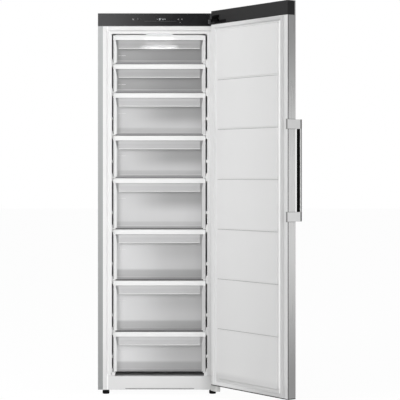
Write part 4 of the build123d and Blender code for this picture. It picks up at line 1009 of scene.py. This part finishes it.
class FREEZER_OT_controls(bpy.types.Operator):
    """Print the symbols and lit figures on the control window"""

    bl_idname = "freezer.controls"
    bl_label = "Controls"

    # all in millimetres, from the middle of the window's width and the symbols' row
    ROW_RISE = 2 * MM  # of the row over the middle of the window's height
    LINE, BOLD = 0.7, 0.9  # widths of lines
    FIGURE_UNIT = 1.9
    FIGURES = ((-8, "g"), (-2, "bc"), (4, "abcdefg"))  # a dash, a one and an eight
    BARS = {
        "a": ((-1, 2), (1, 2)),
        "b": ((1, 2), (1, 0)),
        "c": ((1, 0), (1, -2)),
        "d": ((-1, -2), (1, -2)),
        "e": ((-1, 0), (-1, -2)),
        "f": ((-1, 2), (-1, 0)),
        "g": ((-1, 0), (1, 0)),
    }
    ARROWS = (94, 111)
    ARROW = (
        ((-2.8, 0), (0, 2.8), BOLD),
        ((0, 2.8), (2.8, 0), BOLD),
        ((-2.8, -2), (2.8, -2), LINE),
    )
    LEVELS = (17, 23, 29)  # places of the three level bars

    def bar(self, bm, centre, start, end, width):
        """A printed bar between two places round a centre."""
        low, high = span("control_glass")
        row = (low.z + high.z) / 2 + self.ROW_RISE
        ends = [((centre[0] + x) * MM, row + (centre[1] + z) * MM) for x, z in (start, end)]
        stroke(bm, *ends, width * MM, low.y, looks().print_thickness)

    def figure(self, bm, x, letters):
        """A seven-bar figure."""
        for letter in letters:
            start, end = ([part * self.FIGURE_UNIT for part in corner] for corner in self.BARS[letter])
            self.bar(bm, (x, 0), start, end, self.FIGURE_UNIT * 0.42)

    def star(self, bm, centre, reach):
        """A plain frost star of six arms, each with two twigs."""
        for arm in range(6):
            angle = math.radians(60 * arm + 30)
            tip = (reach * math.cos(angle), reach * math.sin(angle))
            self.bar(bm, centre, (0, 0), tip, reach * 0.14)
            root = (tip[0] * 0.6, tip[1] * 0.6)
            for side in (-1, 1):
                turn = angle + side * math.radians(60)
                twig = (root[0] + reach * 0.3 * math.cos(turn), root[1] + reach * 0.3 * math.sin(turn))
                self.bar(bm, centre, root, twig, reach * 0.1)

    def ring(self, bm, centre, radius, width, first=0, last=360):
        """Part of a round line."""
        steps = 24
        for step in range(steps):
            turns = [math.radians(first + (last - first) * (step + more) / steps) for more in (0, 1)]
            start, end = ((radius * math.cos(turn), radius * math.sin(turn)) for turn in turns)
            self.bar(bm, centre, start, end, width)

    def execute(self, context):
        signs, line, lit = bmesh.new(), bmesh.new(), bmesh.new()
        self.star(signs, (-126, 0), 4.2)
        self.ring(signs, (-104, 0), 3.2, self.LINE, -240, 60)
        self.bar(signs, (-104, 0), (0, 1.2), (0, 4.0), self.LINE)
        self.ring(signs, (-89, 0), 2.6, self.LINE)
        for x in self.ARROWS:
            for start, end, width in self.ARROW:
                self.bar(signs, (x, 0), start, end, width)
        self.bar(signs, (102.5, -15), (-3, 0), (3, 0), self.LINE)
        piece("window_print", signs, "panel_print", "cabinet")
        self.bar(line, (5.5, -9.6), (-77.5, 0), (77.5, 0), self.LINE)
        piece("window_line", line, "panel_line", "cabinet")
        for x, letters in self.FIGURES:
            self.figure(lit, x, letters)
        self.ring(lit, (9.5, 3), 0.9, 0.5)
        for x in self.LEVELS:
            self.bar(lit, (x, 0), (0, -2), (0, 2), 1.2)
        piece("window_figures", lit, "panel_light", "cabinet")
        return {"FINISHED"}


class FREEZER_OT_cabinet_trim(bpy.types.Operator):
    """Add the plinth's painted shadow line, the ledges beside the lowest drawer with a bead of painted
    light, and the housing's painted highlight and shade
    """

    bl_idname = "freezer.cabinet_trim"
    bl_label = "Cabinet trim"

    # corners in millimetres from the place that each piece is set out from
    PLINTH_SHADOW_LINE = ((-164, -0.7, 4.6), (170.5, 0.4, 6.8))
    LEDGES = (((-232, 12, -18.5), (-214.5, 28, -1.5)), ((218, 12, -18.5), (234, 28, -1.5)))
    GAP_LIGHT_BEAD = ((-235, 11, -1), (-230.3, 14, 1))
    WINDOW_END_HIGHLIGHT = ((238.5, -1.4, 11), (246.5, 0.5, 31))
    SLOT_SHADE = ((256, -0.6, 1.5), (5, 0.4, 17.5))

    def execute(self, context):
        foot = span("inner_liner")[0]
        # painted shadow line along the plinth's lower edge
        line = near((0, foot.y, foot.z), *self.PLINTH_SHADOW_LINE)
        boxes("plinth_line", [line], "plinth_shade", "cabinet")
        under, top = span("drawer_front_8")[0].z, span("drawer_front_1")[1].z
        ledges = [near((0, 0, under), *corners) for corners in self.LEDGES]
        # a white bead at the drawers' left, painted light in the dark side gap
        bead = (*near((0, 0, under), self.GAP_LIGHT_BEAD[0]), *near((0, 0, top), self.GAP_LIGHT_BEAD[1]))
        boxes("floor_ledges", [*ledges, bead], "ledge_white", "cabinet", bevel=0.6 * MM)
        low = span("control_glass")[0]
        # a grey block that paints the highlight on the window's end
        clip = near((0, low.y, low.z), *self.WINDOW_END_HIGHLIGHT)
        boxes("window_end_clip", [clip], "clip_grey", "cabinet", bevel=0.6 * MM)
        # a dark pad of painted shade on the housing's front round the arm
        arm = span("top_hinge_arm")[1]
        left, right = self.SLOT_SHADE
        seal = (*near((0, low.y, arm.z), left), *near((arm.x, low.y, arm.z), right))
        boxes("arm_slot_seal", [seal], "arm_paint", "cabinet", bevel=0.3 * MM)
        return {"FINISHED"}


class FREEZER_OT_handle_trim(bpy.types.Operator):
    """Add the dark grip insert, cover strip and end trims of the handle, and the painted shadow and grey
    covers round its brackets
    """

    bl_idname = "freezer.handle_trim"
    bl_label = "Handle trim"

    BRACKET = 43 * MM  # height of a bracket
    PROUD = 1.4 * MM  # how far a dark rim of painted shadow stands out round its bracket
    BAR_INNER, BAR_OUTER = -47 * MM, -59 * MM  # the bar's two sides in the door's own axes

    def trims(self, name, u, v, heights, place, bevel=0.0):
        """Dark trims on the bar: across from the door's free edge and outwards, in metres."""
        u_free = FREEZER_OT_door.U_FREE
        corners = [((u_free + u[0], v[0], foot), (u_free + u[1], v[1], head)) for foot, head in heights]
        boxes(name, corners, "arm_paint", "door", place, bevel)

    def shadow_rims(self, place, feet):
        """Thin dark rims of painted shadow that stand proud all round under the two brackets, and grey
        covers that darken their lips.
        """
        u_free, v_out, v_in = FREEZER_OT_door.U_FREE, FREEZER_OT_door.V_OUT, FREEZER_OT_door.V_IN
        shadow_rims, lips = [], []
        for foot in feet:
            low, high = foot - self.PROUD, foot + self.BRACKET + self.PROUD
            outer = near((u_free, v_out, low), (-1, 0.5, 0)) + near((u_free, v_in, high), (-0.01, 1, 0))
            inner = near((u_free, v_in, low), (-1, 0.05, 0))
            inner += near((u_free + self.PROUD, v_in, high), (11, 0.8, 0))
            shadow_rims += [outer, inner]
            lip = near((u_free, v_in, foot), (-2.9, 0.1, 0.2))
            lips.append(lip + near((u_free, v_in, foot + self.BRACKET), (7.5, 3.2, -0.2)))
        boxes("handle_bracket_seats", shadow_rims, "black_rubber", "door", place)
        boxes("handle_bracket_lips", lips, "bracket_grey", "door", place, 0.3 * MM)

    def execute(self, context):
        place = door_place()
        low, high = (corner.z for corner in span("handle_bar"))
        inner, outer = self.BAR_INNER, self.BAR_OUTER
        feet = (low, high - self.BRACKET)
        middle = ((low + self.BRACKET, high - self.BRACKET),)
        ends = [(foot, foot + self.BRACKET) for foot in feet]
        u, v = (1.2 * MM, 24 * MM), (inner - 0.8 * MM, inner + 1.2 * MM)
        self.trims("handle_grip_insert", u, v, middle, place, 0.3 * MM)
        u, v = (0.8 * MM, 24.1 * MM), (outer + 0.1 * MM, inner - 4 * MM)
        self.trims("handle_cover_strip", u, v, ((low, high),), place, 3 * MM)
        u, v = (0.8 * MM, 6 * MM), (outer + 2.6 * MM, inner - 1.5 * MM)
        self.trims("handle_end_trims", u, v, ends, place)
        self.shadow_rims(place, feet)
        return {"FINISHED"}


class FREEZER_OT_back(bpy.types.Operator):
    """Add the screws and the stiffening beads of the back panel"""

    bl_idname = "freezer.back"
    bl_label = "Back fittings"

    SCREWS = 7  # at each side
    SCREW_EDGE = 12 * MM  # from the panel's side to its screws
    SCREW_END = 30 * MM  # from the panel's top and bottom to the last screws
    SCREW_PROUD = 0.6 * MM
    BEAD_EDGE = 45 * MM
    BEAD = {"Depth": 5 * MM, "Thickness": 16 * MM}
    BEAD_SUNK = 0.5 * MM  # from a bead's middle to the panel's outside
    BEAD_ROUND = 2.4 * MM

    def execute(self, context):
        low, high = span("back_panel")
        rows = screw_row()
        foot = low.z + self.SCREW_END
        pitch = (high.z - self.SCREW_END - foot) / (self.SCREWS - 1)
        for side, x in (("left", low.x + self.SCREW_EDGE), ("right", high.x - self.SCREW_EDGE)):
            place = Matrix.Translation((x, high.y + self.SCREW_PROUD, foot))
            sizes = {"Count": self.SCREWS, "Pitch": pitch}
            rows.make(f"back_screws_{side}", sizes, "zinc_plate", "cabinet", "zinc_steel", place)
        width = high.x - low.x - 2 * self.BEAD_EDGE
        sizes = {"Count": self.SCREWS - 1, "Pitch": pitch, "Width": width, **self.BEAD}
        place = Matrix.Translation((0, high.y - self.BEAD_SUNK, foot + pitch / 2))
        beads = bar_stack("zinc_sheet")
        beads.make("back_beads", sizes, "zinc_sheet", "cabinet", "galvanised", place, self.BEAD_ROUND)
        return {"FINISHED"}


class FREEZER_OT_feet(bpy.types.Operator):
    """Add the gripping ribs round the front feet"""

    bl_idname = "freezer.feet"
    bl_label = "Feet"

    RIB_INSET = 0.7 * MM  # from a foot's side to the ribs' middle
    RIB_HEIGHT = 11 * MM
    RIB_MIDDLE = 9 * MM  # over the floor

    def execute(self, context):
        ribs = rib_ring()
        for body in ("left_foot", "right_foot"):
            low, high = span(body)
            centre = (low + high) / 2
            sizes = {"Radius": (high.x - low.x) / 2 - self.RIB_INSET, "Height": self.RIB_HEIGHT}
            place = Matrix.Translation((centre.x, centre.y, self.RIB_MIDDLE))
            ribs.make(f"{body}_ribs", sizes, "foot_rubber", body, "black_plastic", place)
        return {"FINISHED"}


class FREEZER_OT_stage(bpy.types.Operator):
    """Set up the floor, lights, lamp light, world and camera"""

    bl_idname = "freezer.stage"
    bl_label = "Stage"

    FLOOR_REACH = 40.0
    FLOOR_GLOW = 1.08
    FLOOR_SHARE = 0.86  # of its glow that the floor shows; the rest is lit and keeps shadows
    # name, its power in the sidebar, size, place, target and whether gloss surfaces show it
    LAMPS = (
        ("key_light", "key_power", (3.4, 3.0), (-3.3, -4.1, 3.9), (0.1, 0, 1.4), True),
        ("fill_light", "fill_power", (1.8, 2.2), (4.2, -4.3, 1.5), (0.2, 0, 0.9), True),
        ("front_light", "front_power", (2.4, 1.2), (0.1, -7.7, 1.0), (0.1, 0, 1.0), False),
    )
    # the freezer's own lamp and its glare: size, and place and target in millimetres from the lens
    OWN_LAMP = ((0.13, 0.008), (0, -21, 1), (0, 1, -66))
    GLARE = ((0.19, 0.019), (0, -300, -62), (0, 0, -62))
    OWN_SPREAD, GLARE_SPREAD = 60, 4
    GLARE_SHARE = 0.6  # of the lamp's power

    def flat(self, made, corners):
        """A flat stage piece between four corners, with a finish."""
        name = made.material.name
        mesh = bpy.data.meshes.new(name)
        mesh.from_pydata(corners, [], [(0, 1, 2, 3)])
        mesh.materials.append(made.material)
        sheet = bpy.data.objects.new(name, mesh)
        bpy.context.scene.collection.objects.link(sheet)
        return sheet

    def floor(self):
        """A pale floor that reads as white but keeps the object's shadow."""
        made = Finish("studio_floor")
        made.cover(made.noise(0.6, 2.0), (0.8, 0.8, 0.8, 1), (0.83, 0.83, 0.83, 1))
        made.give("Roughness", 0.9)
        made.give("Specular IOR Level", 0.1)
        ray = Signal(made, background_ray(made.tree))
        glow = made.node("ShaderNodeEmission", None, {"Color": WHITE, "Strength": self.FLOOR_GLOW})
        lit = Signal(made, made.shader.outputs[0])
        seen = made.node("ShaderNodeMixShader", None, {0: ray * self.FLOOR_SHARE, 1: lit, 2: glow})
        made.feed(made.output.inputs["Surface"], seen)
        reach = self.FLOOR_REACH
        corners = [(-reach, -reach, 0), (reach, -reach, 0), (reach, reach, 0), (-reach, reach, 0)]
        floor = self.flat(made, corners)

    def lamp(self, name, power, size, place, target, mirrored=True, spread=180, shape="RECTANGLE"):
        """A flat light that faces a target."""
        light = bpy.data.lights.new(name, "AREA")
        light.shape = shape
        light.size, light.size_y = size
        light.energy = power
        light.spread = math.radians(spread)
        made = bpy.data.objects.new(name, light)
        made.location = place
        made.rotation_euler = (Vector(target) - Vector(place)).to_track_quat("-Z", "Y").to_euler()
        made.visible_glossy = mirrored
        bpy.context.scene.collection.objects.link(made)

    def world(self):
        """White to the camera and in reflections, softer as light."""
        world = bpy.data.worlds.new("studio_world")
        bpy.context.scene.world = world
        world.use_nodes = True
        tree = world.node_tree
        tree.nodes.clear()
        mix = tree.nodes.new("ShaderNodeMixShader")
        tree.links.new(background_ray(tree), mix.inputs[0])
        for index, strength in enumerate((looks().ambient, 1.0), 1):
            shade = tree.nodes.new("ShaderNodeBackground")
            shade.inputs["Color"].default_value = WHITE
            shade.inputs["Strength"].default_value = strength
            tree.links.new(shade.outputs[0], mix.inputs[index])
        out = tree.nodes.new("ShaderNodeOutputWorld")
        tree.links.new(mix.outputs[0], out.inputs["Surface"])

    def card(self, made, strength, corners):
        """A card with graduated brightness, which only gloss surfaces show."""
        glow = made.node("ShaderNodeEmission", None, {"Color": WHITE, "Strength": strength})
        made.feed(made.output.inputs["Surface"], glow)
        card = self.flat(made, corners)
        card.visible_camera = False
        card.visible_diffuse = False
        card.visible_shadow = False

    def cards(self):
        """A card behind the camera for the window, and one at the right for the door's edge."""
        made = Finish("front_card")
        place = {0: made.along("X"), 1: -0.85, 2: 0.25, 3: 1.0, 4: 0.05}
        fade = made.node("ShaderNodeMapRange", {"clamp": True}, place)
        corners = [(-0.9, -8.2, 0.3), (2.4, -8.2, 0.3), (2.4, -8.2, 3.4), (-0.9, -8.2, 3.4)]
        self.card(made, fade ** 2.4 * 3.0, corners)
        made = Finish("side_card")
        z = made.along("Z")
        lit = made.ramp(z, 0.0, 0.7) * (1.0 - made.ramp(z, 1.2, 2.4))
        corners = [(6.2, -5.0, 0.0), (6.2, 3.0, 0.0), (6.2, 3.0, 4.5), (6.2, -5.0, 4.5)]
        self.card(made, lit * 0.8 + 0.2, corners)

    def camera(self):
        """The camera at the picture's place, level, with its horizon above the middle."""
        values = looks()
        data = bpy.data.cameras.new("picture_camera")
        data.sensor_fit = "HORIZONTAL"
        data.sensor_width = 36.0
        data.lens = values.camera_focus / IMAGE_SIDE * data.sensor_width
        data.shift_x = (IMAGE_SIDE / 2 - values.principal) / IMAGE_SIDE
        data.shift_y = (values.horizon - IMAGE_SIDE / 2) / IMAGE_SIDE
        data.clip_end = 100.0
        made = bpy.data.objects.new("picture_camera", data)
        made.location = (values.camera_x, -values.camera_distance, values.camera_height)
        made.rotation_euler = (math.pi / 2, 0, 0)
        bpy.context.scene.collection.objects.link(made)
        bpy.context.scene.camera = made

    def execute(self, context):
        values = looks()
        context.scene.view_settings.view_transform = "Standard"
        self.floor()
        self.world()
        for name, power, *rest in self.LAMPS:
            self.lamp(name, getattr(values, power), *rest)
        low = span("lamp_lens")[0]
        lens = (0.0, low.y, low.z)
        size, *ends = self.OWN_LAMP
        self.lamp("lamp_light", values.lamp_power, size, *near(lens, *ends), spread=self.OWN_SPREAD)
        size, *ends = self.GLARE
        power = values.lamp_power * self.GLARE_SHARE
        self.lamp("lamp_glare", power, size, *near(lens, *ends), False, self.GLARE_SPREAD, "ELLIPSE")
        self.cards()
        self.camera()
        return {"FINISHED"}


OPERATORS = (
    FREEZER_OT_cabinet,
    FREEZER_OT_cooling,
    FREEZER_OT_drawers,
    FREEZER_OT_door,
    FREEZER_OT_controls,
    FREEZER_OT_cabinet_trim,
    FREEZER_OT_handle_trim,
    FREEZER_OT_back,
    FREEZER_OT_feet,
    FREEZER_OT_stage,
)


class FREEZER_PT_sidebar(bpy.types.Panel):
    """The freezer's values and steps"""

    bl_idname = "FREEZER_PT_sidebar"
    bl_label = "Upright freezer"
    bl_space_type = "VIEW_3D"
    bl_region_type = "UI"
    bl_category = "Freezer"

    def draw(self, context):
        for name in FreezerLooks.__annotations__:
            self.layout.prop(context.scene.freezer_looks, name)
        for step in OPERATORS:
            self.layout.operator(step.bl_idname)


CLASSES = (FreezerLooks, *OPERATORS, FREEZER_PT_sidebar)


def register():
    for item in CLASSES:
        bpy.utils.register_class(item)
    bpy.types.Scene.freezer_looks = bpy.props.PointerProperty(type=FreezerLooks)


def unregister():
    del bpy.types.Scene.freezer_looks
    for item in reversed(CLASSES):
        bpy.utils.unregister_class(item)


def main():
    """Makes the whole freezer, piece by piece."""
    register()
    for step in OPERATORS:
        group, name = step.bl_idname.split(".")
        getattr(getattr(bpy.ops, group), name)()


if __name__ == "__main__":
    main()
